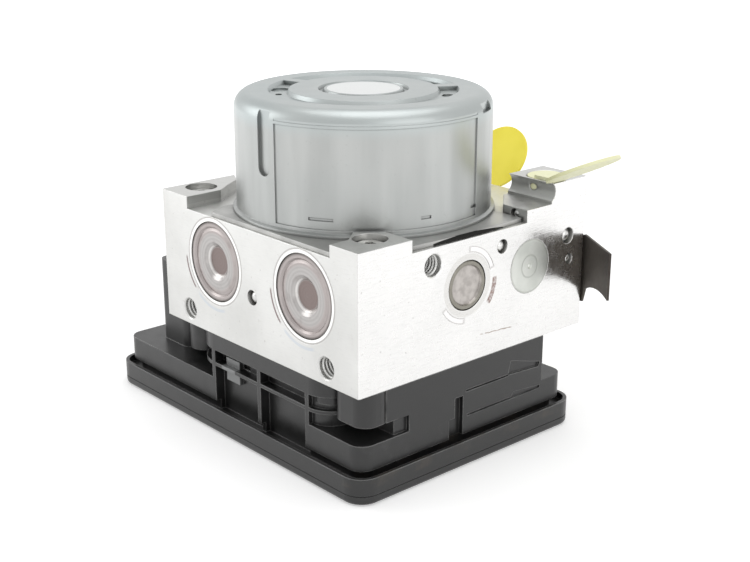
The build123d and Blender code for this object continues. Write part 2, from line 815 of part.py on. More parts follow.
winding_inner = commutator_radius + 2.5
winding_outer = core_radius - 2.6
with BuildPart() as armature_windings:
    with BuildSketch(half_section):
        for middle_z in (core_z - winding_height / 2, core_z + core_length + winding_height / 2):
            with Locations(((winding_inner + winding_outer) / 2, middle_z)):
                Rectangle(winding_outer - winding_inner, winding_height)
    revolve(axis=shaft_line)
    with BuildSketch(Plane((shaft_x, shaft_y, core_z))):
        with PolarLocations(core_radius - 7.0, core_slots):
            Rectangle(9.0, 4.2)
    extrude(amount=core_length)
armature_windings.part.label = "armature_windings"
export_step(armature_windings.part, "parts/armature_windings.step")

with BuildPart() as commutator:
    with BuildSketch(Plane((shaft_x, shaft_y, commutator_z))):
        Circle(commutator_radius)
        Circle(shaft_radius, mode=Mode.SUBTRACT)
        with PolarLocations(commutator_radius, core_slots):
            Rectangle(2.4, 0.6, mode=Mode.SUBTRACT)
    extrude(amount=commutator_height)
commutator.part.label = "commutator"
export_step(commutator.part, "parts/commutator.step")

# The shaft: plain top journal, body through the armature and bearing, eccentric below
journal_low = pump_z - eccentric_width / 2
journal_high = pump_z + eccentric_width / 2
journal_y = shaft_y - eccentric_throw
shaft_top = can_ceiling - 1.2
shaft_step_z = can_ceiling - bush_length - 1.0
with BuildPart() as motor_shaft:
    upright_hole(shaft_x, shaft_y, shaft_radius, journal_high, shaft_step_z, Mode.ADD)
    upright_hole(shaft_x, shaft_y, shaft_tip_radius, shaft_step_z, shaft_top, Mode.ADD)
    upright_hole(shaft_x, journal_y, journal_radius, journal_low, journal_high, Mode.ADD)
    chamfer(motor_shaft.edges().group_by(Axis.Z)[0], length=0.6)
    chamfer(motor_shaft.edges().group_by(Axis.Z)[-1], length=0.6)
motor_shaft.part.label = "motor_shaft"
export_step(motor_shaft.part, "parts/motor_shaft.step")

with BuildPart() as eccentric_needles:
    with BuildSketch(Plane((shaft_x, journal_y, journal_low + 0.8))):
        with PolarLocations(journal_radius + needle_radius, needle_count):
            Circle(needle_radius - 0.02)
    extrude(amount=eccentric_width - 1.6)
eccentric_needles.part.label = "eccentric_needles"
export_step(eccentric_needles.part, "parts/eccentric_needles.step")

with BuildPart() as eccentric_ring:
    ring_inner = journal_radius + 2 * needle_radius
    upright_hole(shaft_x, journal_y, ring_inner + eccentric_ring_wall, journal_low, journal_high, Mode.ADD)
    upright_hole(shaft_x, journal_y, ring_inner, journal_low, journal_high)
eccentric_ring.part.label = "eccentric_ring"
export_step(eccentric_ring.part, "parts/eccentric_ring.step")

# Lower bearing: two grooved rings and a row of balls
race_radius = (shaft_radius + bearing_radius) / 2
bearing_middle = bearing_z + bearing_width / 2
for name, inner, outer in (
    ("bearing_inner_ring", shaft_radius, shaft_radius + bearing_ring_wall),
    ("bearing_outer_ring", bearing_radius - bearing_ring_wall, bearing_radius),
):
    with BuildPart() as bearing_ring:
        with BuildSketch(half_section):
            with Locations(((inner + outer) / 2, bearing_middle)):
                Rectangle(outer - inner, bearing_width)
            with Locations((race_radius, bearing_middle)):
                Circle(bearing_ball_radius + running_fit, mode=Mode.SUBTRACT)
        revolve(axis=shaft_line)
    bearing_ring.part.label = name
    export_step(bearing_ring.part, f"parts/{name}.step")

with BuildPart() as bearing_ball_row:
    with Locations((shaft_x, shaft_y, bearing_middle)):
        with PolarLocations(race_radius, bearing_balls):
            Sphere(bearing_ball_radius)
bearing_ball_row.part.label = "bearing_ball_row"
export_step(bearing_ball_row.part, "parts/bearing_ball_row.step")

with BuildPart() as top_bush:
    bush_low = can_ceiling - bush_length
    upright_hole(shaft_x, shaft_y, bush_radius, bush_low, can_ceiling - 0.2, Mode.ADD)
    upright_hole(shaft_x, shaft_y, shaft_tip_radius + running_fit, bush_low, can_ceiling - 0.2)
    chamfer(top_bush.edges().group_by(Axis.Z)[0], length=0.4)
top_bush.part.label = "top_bush"
export_step(top_bush.part, "parts/top_bush.step")

# ---------------------------------------------------------------- brush gear and contacts
brush_width = 5.0
brush_height = 3.6
brush_length = 9.0
brush_z = commutator_z + 1.2
brush_start = commutator_radius + slip_fit
box_length = 17.0
box_wall = 0.9
sleeve_low = block_z - 4.0
contact_spacing = 3.6
contact_pin_radius = 0.7
board_top = board_level + board_thickness

with BuildPart() as brush_holder:
    with BuildSketch(Plane.XY.offset(plate_top)):
        with Locations((shaft_x, shaft_y)):
            Circle(can_inner - 4.0)
            Circle(shaft_radius + 3.0, mode=Mode.SUBTRACT)
    extrude(amount=1.3)
    for side in (1, -1):
        box_x = shaft_x + side * (brush_start + 0.8 + box_length / 2)
        with BuildSketch(Plane.XY.offset(plate_top + 1.3)):
            with Locations((box_x, shaft_y)):
                Rectangle(box_length, brush_width + 2 * box_wall + 0.2)
        extrude(amount=brush_z + brush_height + box_wall - plate_top - 1.2)
        with BuildSketch(Plane.XY.offset(brush_z - 0.05)):
            with Locations((box_x - side * box_wall, shaft_y)):
                Rectangle(box_length, brush_width + 0.1)
        extrude(amount=brush_height + 0.1, mode=Mode.SUBTRACT)
    # The moulded sleeve carries the motor's contacts down through the block
    upright_hole(
        shaft_x, shaft_y + contact_radius, contact_sleeve_radius, sleeve_low, plate_top + 5.0, Mode.ADD
    )
    for side in (1, -1):
        upright_hole(
            shaft_x + side * contact_spacing / 2,
            shaft_y + contact_radius,
            contact_pin_radius,
            sleeve_low,
            plate_top + 5.0,
        )
brush_holder.part.label = "brush_holder"
export_step(brush_holder.part, "parts/brush_holder.step")

with BuildPart() as motor_contact_pins:
    for side in (1, -1):
        upright_hole(
            shaft_x + side * contact_spacing / 2,
            shaft_y + contact_radius,
            contact_pin_radius - 0.02,
            board_top,
            plate_top + 6.5,
            Mode.ADD,
        )
motor_contact_pins.part.label = "motor_contact_pins"
export_step(motor_contact_pins.part, "parts/motor_contact_pins.step")

with BuildPart() as carbon_brushes:
    for side in (1, -1):
        with Locations((shaft_x + side * (brush_start + brush_length / 2), shaft_y, brush_z + brush_height / 2)):
            Box(brush_length, brush_width, brush_height)
    upright_hole(shaft_x, shaft_y, brush_start + 0.2, brush_z, brush_z + brush_height)
carbon_brushes.part.label = "carbon_brushes"
export_step(carbon_brushes.part, "parts/carbon_brushes.step")

spring_gap = box_length + 0.8 - box_wall - brush_length
with BuildPart() as brush_springs:
    for side in (1, -1):
        coil = spring(1.3, 0.4, spring_gap, 4)
        seat = Plane(
            origin=(shaft_x + side * (brush_start + brush_length), shaft_y, brush_z + brush_height / 2),
            x_dir=(0, 1, 0),
            z_dir=(side, 0, 0),
        )
        add(coil.moved(seat.location))
brush_springs.part.label = "brush_springs"
export_step(brush_springs.part, "parts/brush_springs.step")

# ---------------------------------------------------------------- valves
valve_top = block_z + valve_collar_length + valve_stem_length
dome_floor = block_z - valve_dome_length
plunger_radius = valve_dome_radius - valve_dome_wall - slip_fit
plunger_low = dome_floor + valve_dome_wall + slip_fit + plunger_travel
plunger_high = plunger_low + plunger_length
valve_spring_length = block_z - 0.8 - plunger_high
coil_low = dome_floor - 0.6
coil_bore = valve_dome_radius + 0.15
valve_kinds = {"inlet": valve_rows[0], "outlet": valve_rows[1]}


def valve_section(x, y):
    """The half-section plane of the valve at one place."""
    return Plane(origin=(x, y, 0), x_dir=(1, 0, 0), z_dir=(0, -1, 0))


for kind, y in valve_kinds.items():
    with BuildPart() as valve_bodies:
        for x in valve_columns:
            with BuildSketch(valve_section(x, y)) as outline:
                with BuildLine():
                    Polyline(
                        (0.6, valve_top - 1.0),
                        (valve_stem_radius, valve_top - 1.0),
                        (valve_stem_radius, block_z + valve_collar_length),
                        (valve_collar_radius, block_z + valve_collar_length),
                        (valve_collar_radius, block_z + 0.4),
                        (valve_collar_radius - 0.4, block_z),
                        (valve_dome_radius, block_z),
                        (valve_dome_radius, dome_floor + 0.8),
                        (valve_dome_radius - 0.8, dome_floor),
                        (0, dome_floor),
                        (0, dome_floor + valve_dome_wall),
                        (valve_dome_radius - valve_dome_wall, dome_floor + valve_dome_wall),
                        (valve_dome_radius - valve_dome_wall, block_z - 0.8),
                        (0.6, block_z - 0.8),
                        close=True,
                    )
                make_face()
            revolve(outline.sketch, axis=Axis((x, y, 0), (0, 0, 1)))
    valve_bodies.part.label = f"{kind}_valve_bodies"
    export_step(valve_bodies.part, f"parts/{kind}_valve_bodies.step")

    for number, x in enumerate(valve_columns, start=1):
        with BuildPart() as valve_plunger:
            upright_hole(x, y, plunger_radius, plunger_low, plunger_high, Mode.ADD)
            chamfer(valve_plunger.edges().filter_by(GeomType.CIRCLE), length=0.3)
        valve_plunger.part.label = f"{kind}_plunger_{number}"
        export_step(valve_plunger.part, f"parts/{kind}_plunger_{number}.step")

with BuildPart() as valve_springs:
    for x, y in valve_places:
        coil = spring(1.7, 0.45, valve_spring_length, 2)
        add(coil.moved(Location((x, y, plunger_high))))
valve_springs.part.label = "valve_springs"
export_step(valve_springs.part, "parts/valve_springs.step")

coil_pin_offset = 2.0
with BuildPart() as valve_coils:
    with BuildSketch(Plane.XY.offset(coil_low)):
        with Locations(*valve_places):
            Circle(coil_radius)
            Circle(coil_bore, mode=Mode.SUBTRACT)
    extrude(amount=coil_height)
    with BuildSketch(Plane.XY.offset(coil_low + 1.4)):
        with Locations(*valve_places):
            Circle(coil_radius)
            Circle(coil_radius - 1.0, mode=Mode.SUBTRACT)
    extrude(amount=coil_height - 2.8, mode=Mode.SUBTRACT)
    # Each coil's two contact pins reach down to the board
    with BuildSketch(Plane.XY.offset(board_top)):
        for x, y in valve_places:
            with Locations((x - coil_pin_offset, y + 5.2), (x + coil_pin_offset, y + 5.2)):
                Rectangle(0.7, 0.7)
    extrude(amount=coil_low + 0.5 - board_top)
valve_coils.part.label = "valve_coils"
export_step(valve_coils.part, "parts/valve_coils.step")

yoke_inner = coil_radius + 0.15
yoke_top = coil_low + coil_height + 1.2
with BuildPart() as coil_yokes:
    with BuildSketch(Plane.XY.offset(coil_low)):
        with Locations(*valve_places):
            Circle(yoke_inner + yoke_wall)
            Circle(yoke_inner, mode=Mode.SUBTRACT)
        # One side of each yoke is open for the winding's leads
        for x, y in valve_places:
            with Locations((x, y - yoke_inner)):
                Rectangle(9.0, 6.0, mode=Mode.SUBTRACT)
    extrude(amount=coil_height)
    with BuildSketch(Plane.XY.offset(coil_low + coil_height)):
        with Locations(*valve_places):
            Circle(yoke_inner + yoke_wall)
            Circle(coil_bore, mode=Mode.SUBTRACT)
    extrude(amount=1.2)
coil_yokes.part.label = "coil_yokes"
export_step(coil_yokes.part, "parts/coil_yokes.step")

# ---------------------------------------------------------------- controller housing
column_front = 1.35
column_depth = 11.7
column_height = 10.6
column_width = 15.1
side_boss_radius = pad_screw_inset_left - 1.0
left_boss_z = block_z - 13.0
setback_y = block_front + 14.75
chamber_rear = ecu_depth / 2 - chamber_rear_setback
chamber_left = block_left + 0.5
corner_boss_radius = 5.7
corner_boss_height = 8.5
collar_z = block_z - collar_height
neck_width = ecu_width - 2 * neck_inset
neck_depth = ecu_depth - 2 * neck_inset
rib_x = [shaft_x - 26.5, shaft_x - 1.6, shaft_x + 22.8]
right_corner_x = shaft_x + 23.9
left_corner_x = shaft_x - 26.3
wall_in = panel_recess + ecu_wall
connector_x = block_left - connector_gap - connector_width / 2
connector_y = ecu_front + 8.55 + connector_length / 2
connector_floor_z = deck_z + connector_floor
pin_rows_x = [connector_x - pin_row_gap / 2, connector_x + pin_row_gap / 2]


def chamber_shape(inset):
    """The plan of the coil chamber, moved in all round by an inset."""
    front = ecu_front + inset
    with BuildSketch() as outline:
        with BuildLine():
            Line((left_corner_x, front), (right_corner_x, front))
            CenterArc(
                (right_corner_x, ecu_front + front_corner_radius), front_corner_radius - inset, -90, 90
            )
            Polyline(
                (right_corner_x + front_corner_radius - inset, ecu_front + front_corner_radius),
                (right_corner_x + front_corner_radius - inset, setback_y + inset),
                (block_right - inset, setback_y + inset),
                (block_right - inset, chamber_rear - inset),
                (chamber_left + inset, chamber_rear - inset),
                (chamber_left + inset, setback_y + inset),
                (left_corner_x - left_corner_radius + inset, setback_y + inset),
                (left_corner_x - left_corner_radius + inset, ecu_front + left_corner_radius),
            )
            CenterArc(
                (left_corner_x, ecu_front + left_corner_radius), left_corner_radius - inset, 180, 90
            )
        make_face()
    return outline.sketch


with BuildPart() as ecu_housing:
    # Flange with a raised lip round a moat, neck and band
    rounded_box(
        ecu_width + 2 * flange_overhang, ecu_depth + 2 * flange_overhang, flange_corner_radius, seam_z, lip_z
    )
    rounded_box(
        ecu_width + 2 * (flange_overhang - lip_width),
        ecu_depth + 2 * (flange_overhang - lip_width),
        flange_corner_radius - lip_width,
        moat_z,
        lip_z + 1,
        Mode.SUBTRACT,
    )
    rounded_box(neck_width, neck_depth, band_corner_radius, moat_z, band_z)
    rounded_box(ecu_width, ecu_depth, band_corner_radius, band_z, deck_z)
    # Coil chamber: panels set back between ribs, with a flush collar under the block
    extrude(chamber_shape(0.0).moved(Location((0, 0, deck_z))), amount=block_z - deck_z)
    # Near-right column and the side bosses that take the long screws
    with BuildSketch(Plane.XY.offset(block_z - column_height)) as column:
        with Locations((block_right - column_width / 2, ecu_front + column_front + column_depth / 2)):
            RectangleRounded(column_width, column_depth, 4.8)
        with Locations((block_right - column_width / 2, setback_y - 1.0)):
            Rectangle(column_width, 6.0)
    extrude(amount=column_height)
    upright_hole(left_screw[0] - 1.0, left_screw[1], side_boss_radius, left_boss_z, block_z, Mode.ADD)
    with BuildSketch(Plane.XY.offset(left_boss_z)):
        with Locations((left_screw[0] + 2.0, (left_screw[1] + setback_y + 2.0) / 2)):
            Rectangle(8.0, setback_y + 2.0 - left_screw[1])
    extrude(amount=block_z - left_boss_z)
    # Connector shroud beside the block
    with BuildSketch(Plane.XY.offset(deck_z)):
        with Locations((connector_x, connector_y)):
            RectangleRounded(connector_width, connector_length, 3.0)
    extrude(amount=connector_height)
    with BuildSketch(Plane.XY.offset(connector_floor_z)):
        with Locations((connector_x, connector_y)):
            RectangleRounded(connector_width - 2 * connector_wall, connector_length - 2 * connector_wall, 1.6)
    extrude(amount=connector_height, mode=Mode.SUBTRACT)
    # Board space below and coil space above the dividing floor
    rounded_box(neck_width - 2 * ecu_wall, neck_depth - 2 * wall_in, 3.0, seam_z, ceiling_z, Mode.SUBTRACT)
    extrude(
        chamber_shape(wall_in - 1.0).moved(Location((0, 0, deck_z))),
        amount=chamber_height,
        mode=Mode.SUBTRACT,
    )
    with BuildSketch(Plane.XY.offset(deck_z)):
        with Locations(((chamber_left + block_right) / 2, (setback_y + chamber_rear) / 2)):
            Rectangle(block_right - chamber_left - 2 * ecu_wall, chamber_rear - setback_y - 2 * ecu_wall)
    extrude(amount=chamber_height, mode=Mode.SUBTRACT)
    # Rear screw boss inside the chamber's corner
    with BuildSketch(Plane.XY.offset(deck_z)):
        with Locations((rear_screw[0] - 1.0, rear_screw[1] + 0.5)):
            RectangleRounded(10.6, 11.0, 2.0)
    extrude(amount=chamber_height)
    # Front recess between the outer ribs, cut down through the band to the moat
    with BuildSketch(Plane.XY.offset(moat_z)):
        for left_rib, right_rib in zip(rib_x, rib_x[1:]):
            with Locations(((left_rib + right_rib) / 2, ecu_front + panel_recess / 2 - 5)):
                Rectangle(right_rib - left_rib - rib_width, panel_recess + 10)
    extrude(amount=collar_z - moat_z, mode=Mode.SUBTRACT)
    with BuildSketch(Plane.XY.offset(cross_rib_level)):
        with Locations(((rib_x[0] + rib_x[2]) / 2, ecu_front + panel_recess / 2 + 0.2)):
            Rectangle(rib_x[2] - rib_x[0], panel_recess + 0.4)
    extrude(amount=cross_rib_height)
    # Restore the lip and flange that the recess cut reached
    with BuildSketch(Plane.XY.offset(moat_z)) as lip_ring:
        RectangleRounded(
            ecu_width + 2 * flange_overhang, ecu_depth + 2 * flange_overhang, flange_corner_radius
        )
        RectangleRounded(
            ecu_width + 2 * (flange_overhang - lip_width),
            ecu_depth + 2 * (flange_overhang - lip_width),
            flange_corner_radius - lip_width,
            mode=Mode.SUBTRACT,
        )
    extrude(amount=lip_height)
    # Rounded flanks either side of the recess hang from the collar and the cross rib
    with BuildSketch(Plane.XY.offset(deck_z)) as flanks:
        add(chamber_shape(0.0))
        with Locations(((rib_x[0] + rib_x[2]) / 2, 0)):
            Rectangle(rib_x[2] - rib_x[0] + rib_width, 2 * ecu_depth, mode=Mode.SUBTRACT)
        with Locations((shaft_x, setback_y + ecu_depth / 2)):
            Rectangle(2 * ecu_width, ecu_depth, mode=Mode.SUBTRACT)
        add(chamber_shape(1.6), mode=Mode.SUBTRACT)
    extrude(amount=cross_rib_level - deck_z, mode=Mode.SUBTRACT)
    extrude(
        flanks.sketch.moved(Location((0, 0, cross_rib_level + cross_rib_height - deck_z))),
        amount=collar_z - cross_rib_level - cross_rib_height,
        mode=Mode.SUBTRACT,
    )
    upright_hole(
        right_corner_x + 2.3,
        ecu_front + 7.3,
        corner_boss_radius,
        block_z - corner_boss_height,
        block_z - collar_height + 0.1,
        Mode.ADD,
    )
    # Raised panel plate and two small windows beside it
    with BuildSketch(Plane.XY.offset(deck_z + 0.2)):
        with Locations((shaft_x - 18.25, ecu_front + panel_recess)):
            Rectangle(7.3, 3.0)
    extrude(amount=8.0)
    with BuildSketch(Plane(origin=(0, ecu_front + panel_recess, 0), x_dir=(1, 0, 0), z_dir=(0, -1, 0))):
        with Locations((shaft_x - 12.4, deck_z + 3.4), (shaft_x - 12.4, deck_z + 7.6)):
            Rectangle(3.6, 3.0)
    extrude(amount=-1.2, mode=Mode.SUBTRACT)
    # Slot and shallow steps in the right wall
    with BuildSketch(right_face):
        with Locations((shaft_y - 2.5, moat_z + 8.3)):
            Rectangle(3.6, 16.6)
        with Locations((shaft_y - 3.7, moat_z + 5.0)):
            Rectangle(6.0, 10.0)
    extrude(amount=-1.6, mode=Mode.SUBTRACT)
    with BuildSketch(right_face):
        with BuildLine():
            Polyline(
                (shaft_y + 19.75, deck_z + 6.4),
                (shaft_y + 20.95, deck_z + 10.9),
                (shaft_y + 35.0, deck_z + 7.0),
                (shaft_y + 34.4, deck_z + 5.5),
                close=True,
            )
        make_face()
        with Locations((shaft_y + 10.2, deck_z + 6.3)):
            Rectangle(19.4, 0.5)
    extrude(amount=-0.7, mode=Mode.SUBTRACT)
    with BuildSketch(right_face):
        with BuildLine():
            Polyline(
                (shaft_y + 22.5, band_z + 7.9),
                (shaft_y + 35.3, band_z + 6.8),
                (shaft_y + 35.3, band_z + 5.9),
                (shaft_y + 1.3, band_z + 5.9),
                (shaft_y + 1.3, band_z + 6.4),
                (shaft_y + 21.5, band_z + 6.4),
                close=True,
            )
        make_face()
    extrude(amount=-0.5, mode=Mode.SUBTRACT)
    # The wall under the near column is set back
    with BuildSketch(right_face):
        with Locations((setback_y + 2.6, deck_z + 2.7)):
            Rectangle(5.3, 5.4)
    extrude(amount=-1.2, mode=Mode.SUBTRACT)
    # Gasket groove under the flange
    rounded_box(
        neck_width + 2 * gasket_width - 0.4,
        neck_depth + 2 * gasket_width - 0.4,
        band_corner_radius,
        seam_z,
        seam_z + gasket_height,
        Mode.SUBTRACT,
    )
    rounded_box(neck_width - 0.4, neck_depth - 0.4, band_corner_radius - 1.0, seam_z, seam_z + gasket_height)
    rounded_box(neck_width - 2 * ecu_wall, neck_depth - 2 * wall_in, 3.0, seam_z, ceiling_z, Mode.SUBTRACT)
    # Screw holes, pin slots in the dividing floor and the way for the motor contacts
    for x, y in screw_places:
        upright_hole(x, y, screw_radius - 0.3, screw_seat_z - screw_length - 0.4, block_z)
    with BuildSketch(Plane.XY.offset(ceiling_z)):
        for x, y in valve_places:
            with Locations((x, y + 5.2)):
                Rectangle(6.0, 2.2)
        with Locations((shaft_x, shaft_y + contact_radius)):
            RectangleRounded(8.0, 4.0, 1.0)
    extrude(amount=ecu_wall, mode=Mode.SUBTRACT)
    with BuildSketch(Plane.XY.offset(ceiling_z)):
        for x in pin_rows_x:
            with Locations((x, connector_y)):
                with GridLocations(1, pin_pitch, 1, pin_columns):
                    Rectangle(pin_side, pin_side)
    extrude(amount=connector_floor_z - ceiling_z, mode=Mode.SUBTRACT)
    # Board pillars
    with BuildSketch(Plane.XY.offset(board_top)):
        with Locations(*[(sx * (neck_width / 2 - 8), sy * (neck_depth / 2 - wall_in - 4))
                         for sx in (-1, 1) for sy in (-1, 1)]):
            Circle(2.4)
    extrude(amount=ceiling_z - board_top)
ecu_housing.part.label = "ecu_housing"
export_step(ecu_housing.part, "parts/ecu_housing.step")

# ---------------------------------------------------------------- cover, gasket and board
with BuildPart() as ecu_cover:
    with BuildSketch():
        RectangleRounded(
            ecu_width + 2 * flange_overhang, ecu_depth + 2 * flange_overhang, flange_corner_radius
        )
    extrude(amount=cover_thickness)
    fillet(ecu_cover.faces().sort_by(Axis.Z)[0].outer_wire().edges(), radius=1.4)
    rounded_box(
        neck_width - 2 * ecu_wall - 2, neck_depth - 2 * wall_in - 2, 3.0, 1.8, cover_thickness, Mode.SUBTRACT
    )
ecu_cover.part.label = "ecu_cover"
export_step(ecu_cover.part, "parts/ecu_cover.step")

with BuildPart() as housing_gasket:
    rounded_box(
        neck_width + 2 * gasket_width - 0.6,
        neck_depth + 2 * gasket_width - 0.6,
        band_corner_radius,
        seam_z,
        seam_z + gasket_height - 0.1,
    )
    rounded_box(
        neck_width - 0.2, neck_depth - 0.2, band_corner_radius - 1.0, seam_z, seam_z + 2, Mode.SUBTRACT
    )
housing_gasket.part.label = "housing_gasket"
export_step(housing_gasket.part, "parts/housing_gasket.step")

board_width = neck_width - 2 * ecu_wall - 2 * loose_fit
board_depth = neck_depth - 2 * wall_in - 2 * loose_fit
with BuildPart() as circuit_board:
    rounded_box(board_width, board_depth, 2.4, board_level, board_top)
circuit_board.part.label = "circuit_board"
export_step(circuit_board.part, "parts/circuit_board.step")

with BuildPart() as connector_pins:
    with BuildSketch(Plane.XY.offset(board_top)):
        for x in pin_rows_x:
            with Locations((x, connector_y)):
                with GridLocations(1, pin_pitch, 1, pin_columns):
                    Rectangle(pin_side, pin_side)
    extrude(amount=connector_floor_z + pin_rise - board_top)
connector_pins.part.label = "connector_pins"
export_step(connector_pins.part, "parts/connector_pins.step")

component_gap = 0.05
with BuildPart() as board_components:
    # Processor, pump driver, relay transistors and two capacitors stand under the board
    for x, y, width, depth, height in (
        (-6.0, -4.0, 20.0, 20.0, 1.6),
        (-36.0, 2.0, 14.0, 14.0, 1.8),
        (22.0, 8.0, 10.0, 9.0, 2.4),
        (22.0, -8.0, 10.0, 9.0, 2.4),
        (40.0, 8.0, 10.0, 9.0, 2.4),
        (40.0, -8.0, 10.0, 9.0, 2.4),
    ):
        with BuildSketch(Plane.XY.offset(board_level - height)):
            with Locations((x, y)):
                Rectangle(width, depth)
        extrude(amount=height)
    for y in (-18.0, 20.0):
        upright_hole(-22.0, y, 4.0, board_level - 6.0, board_level, Mode.ADD)
board_components.part.label = "board_components"
export_step(board_components.part, "parts/board_components.step")

with BuildPart() as ecu_screws:
    for x, y in screw_places:
        upright_hole(x, y, screw_head_radius, screw_seat_z, screw_seat_z + screw_head_height, Mode.ADD)
        upright_hole(x, y, screw_radius - 0.3, screw_seat_z - screw_length, screw_seat_z, Mode.ADD)
        with BuildSketch(Plane((x, y, screw_seat_z + screw_head_height))) as star:
            Circle(1.55)
            with PolarLocations(1.45, 6):
                Circle(0.5)
        extrude(star.sketch, amount=-2.2, mode=Mode.SUBTRACT)
    chamfer(
        ecu_screws.edges()
        .filter_by(GeomType.CIRCLE)
        .filter_by(lambda e: e.radius > screw_head_radius - 0.1 and e.center().Z > screw_seat_z + 1),
        length=0.5,
    )
ecu_screws.part.label = "ecu_screws"
export_step(ecu_screws.part, "parts/ecu_screws.step")

# ---------------------------------------------------------------- transport plugs
plug_clearance = 0.15
top_port = (port_x[1], port_y)
tag_edge_x = block_right - 0.6
tag_reach = 13.7
with BuildPart() as port_plug_top:
    # Hollow stopper in the port, flush with the tower
    upright_hole(
        top_port[0], top_port[1], port_radius - plug_clearance, tower_top - port_plug_grip, tower_top, Mode.ADD
    )
    upright_hole(top_port[0], top_port[1], port_radius - 1.6, tower_top - port_plug_grip, tower_top - 1.4)
    # Strap over the tower's edge, then the disc that is pulled, bent upward
    with BuildSketch(Plane.XY.offset(tower_top)):
        with Locations(((top_port[0] + tag_edge_x) / 2, top_port[1] - 3.4)):
            Rectangle(tag_edge_x - top_port[0], tag_stem_width)
    extrude(amount=tag_thickness)
    with BuildSketch(
        Plane(
            origin=(tag_edge_x, top_port[1] - 3.4, tower_top),
            x_dir=(cos(radians(top_tag_rise)), 0, sin(radians(top_tag_rise))),
            z_dir=(-sin(radians(top_tag_rise)), 0, cos(radians(top_tag_rise))),
        )
    ):
        with Locations((3.2, -1.0)):
            Rectangle(6.4, tag_stem_width)
        with Locations((tag_reach, -3.9)):
            Circle(tag_radius)
    extrude(amount=tag_thickness)
port_plug_top.part.label = "port_plug_top"
export_step(port_plug_top.part, "parts/port_plug_top.step")

rear_port_x = wheel_port_x[1]
rear_plug_cap = 1.6
lean = radians(rear_tag_lean)
rear_tag_plane = Plane(
    origin=(rear_port_x, block_rear + rear_plug_cap + 0.4, wheel_port_z),
    x_dir=(1, 0, 0),
    z_dir=(0, -cos(lean), sin(lean)),
)
with BuildPart() as port_plug_rear:
    with BuildSketch(rear_face) as stopper:
        with Locations((-rear_port_x, wheel_port_z)):
            Circle(wheel_port_radius - plug_clearance)
    extrude(amount=-port_plug_grip)
    with BuildSketch(rear_face.offset(0.02)):
        with Locations((-rear_port_x, wheel_port_z)):
            Circle(wheel_port_radius + 1.4)
    extrude(amount=rear_plug_cap)
    with BuildSketch(rear_face.offset(-1.4)):
        with Locations((-rear_port_x, wheel_port_z)):
            Circle(wheel_port_radius - plug_clearance)
    extrude(amount=1.6)
    with BuildSketch(rear_tag_plane):
        with Locations((1.5, 6.0)):
            Rectangle(tag_stem_width, 16.0)
        with Locations((6.2, 25.0)):
            Circle(tag_radius)
    extrude(amount=tag_thickness)
port_plug_rear.part.label = "port_plug_rear"
export_step(port_plug_rear.part, "parts/port_plug_rear.step")

# ---------------------------------------------------------------- rear bracket
bend_x = block_right + bracket_bend_overhang
leaf_turn = radians(bracket_leaf_turn)
leaf_plane = Plane(
    origin=(bend_x, block_rear + bracket_thickness, bracket_low),
    x_dir=(cos(leaf_turn), -sin(leaf_turn), 0),
    z_dir=(-sin(leaf_turn), -cos(leaf_turn), 0),
)
with BuildPart() as rear_bracket:
    # Foot on the block's rear face
    with BuildSketch(rear_face):
        with BuildLine():
            Polyline(
                (-bend_x, bracket_low),
                (-bend_x, bracket_low + bracket_height),
                (-bracket_inner_x, bracket_low + bracket_height - bracket_foot_slope),
                (-bracket_inner_x, bracket_low),
                close=True,
            )
        make_face()
        with Locations((-bracket_screw_x, bracket_screw_z)):
            Circle(bracket_screw_radius + slip_fit, mode=Mode.SUBTRACT)
    extrude(amount=bracket_thickness)
    fillet(
        rear_bracket.edges().filter_by(Axis.Y).group_by(Axis.X)[0], radius=3.0
    )
    # Free leaf turned back past the block's edge, with an arched notch below
    with BuildSketch(leaf_plane):
        with BuildLine():
            Line((0, 0), (0, bracket_height))
            Line((0, bracket_height), (bracket_leaf_length, bracket_height - bracket_leaf_slope))
            Line(
                (bracket_leaf_length, bracket_height - bracket_leaf_slope),
                (bracket_leaf_length, bracket_notch),
            )
            ThreePointArc(
                (bracket_leaf_length, bracket_notch),
                (0.5 * bracket_leaf_length, bracket_notch + 1.4),
                (1.7, bracket_notch - 1.0),
            )
            Line((1.7, bracket_notch - 1.0), (0, 0))
        make_face()
    extrude(amount=bracket_thickness)
rear_bracket.part.label = "rear_bracket"
export_step(rear_bracket.part, "parts/rear_bracket.step")

with BuildPart() as bracket_screw:
    screw_plane = rear_face.offset(bracket_thickness)
    with BuildSketch(screw_plane):
        with Locations((-bracket_screw_x, bracket_screw_z)):
            Circle(bracket_head_radius)
    extrude(amount=bracket_head_height)
    chamfer(bracket_screw.edges().group_by(Axis.Y)[-1], length=0.5)
    with BuildSketch(screw_plane):
        with Locations((-bracket_screw_x, bracket_screw_z)):
            Circle(bracket_screw_radius)
    extrude(amount=-bracket_screw_length)
    with BuildSketch(screw_plane.offset(bracket_head_height)):
        with Locations((-bracket_screw_x, bracket_screw_z)):
            RegularPolygon(1.9, 6)
    extrude(amount=-1.4, mode=Mode.SUBTRACT)
bracket_screw.part.label = "bracket_screw"
export_step(bracket_screw.part, "parts/bracket_screw.step")
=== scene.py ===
import json
import math
import bmesh
import bpy
from mathutils import Matrix, Vector


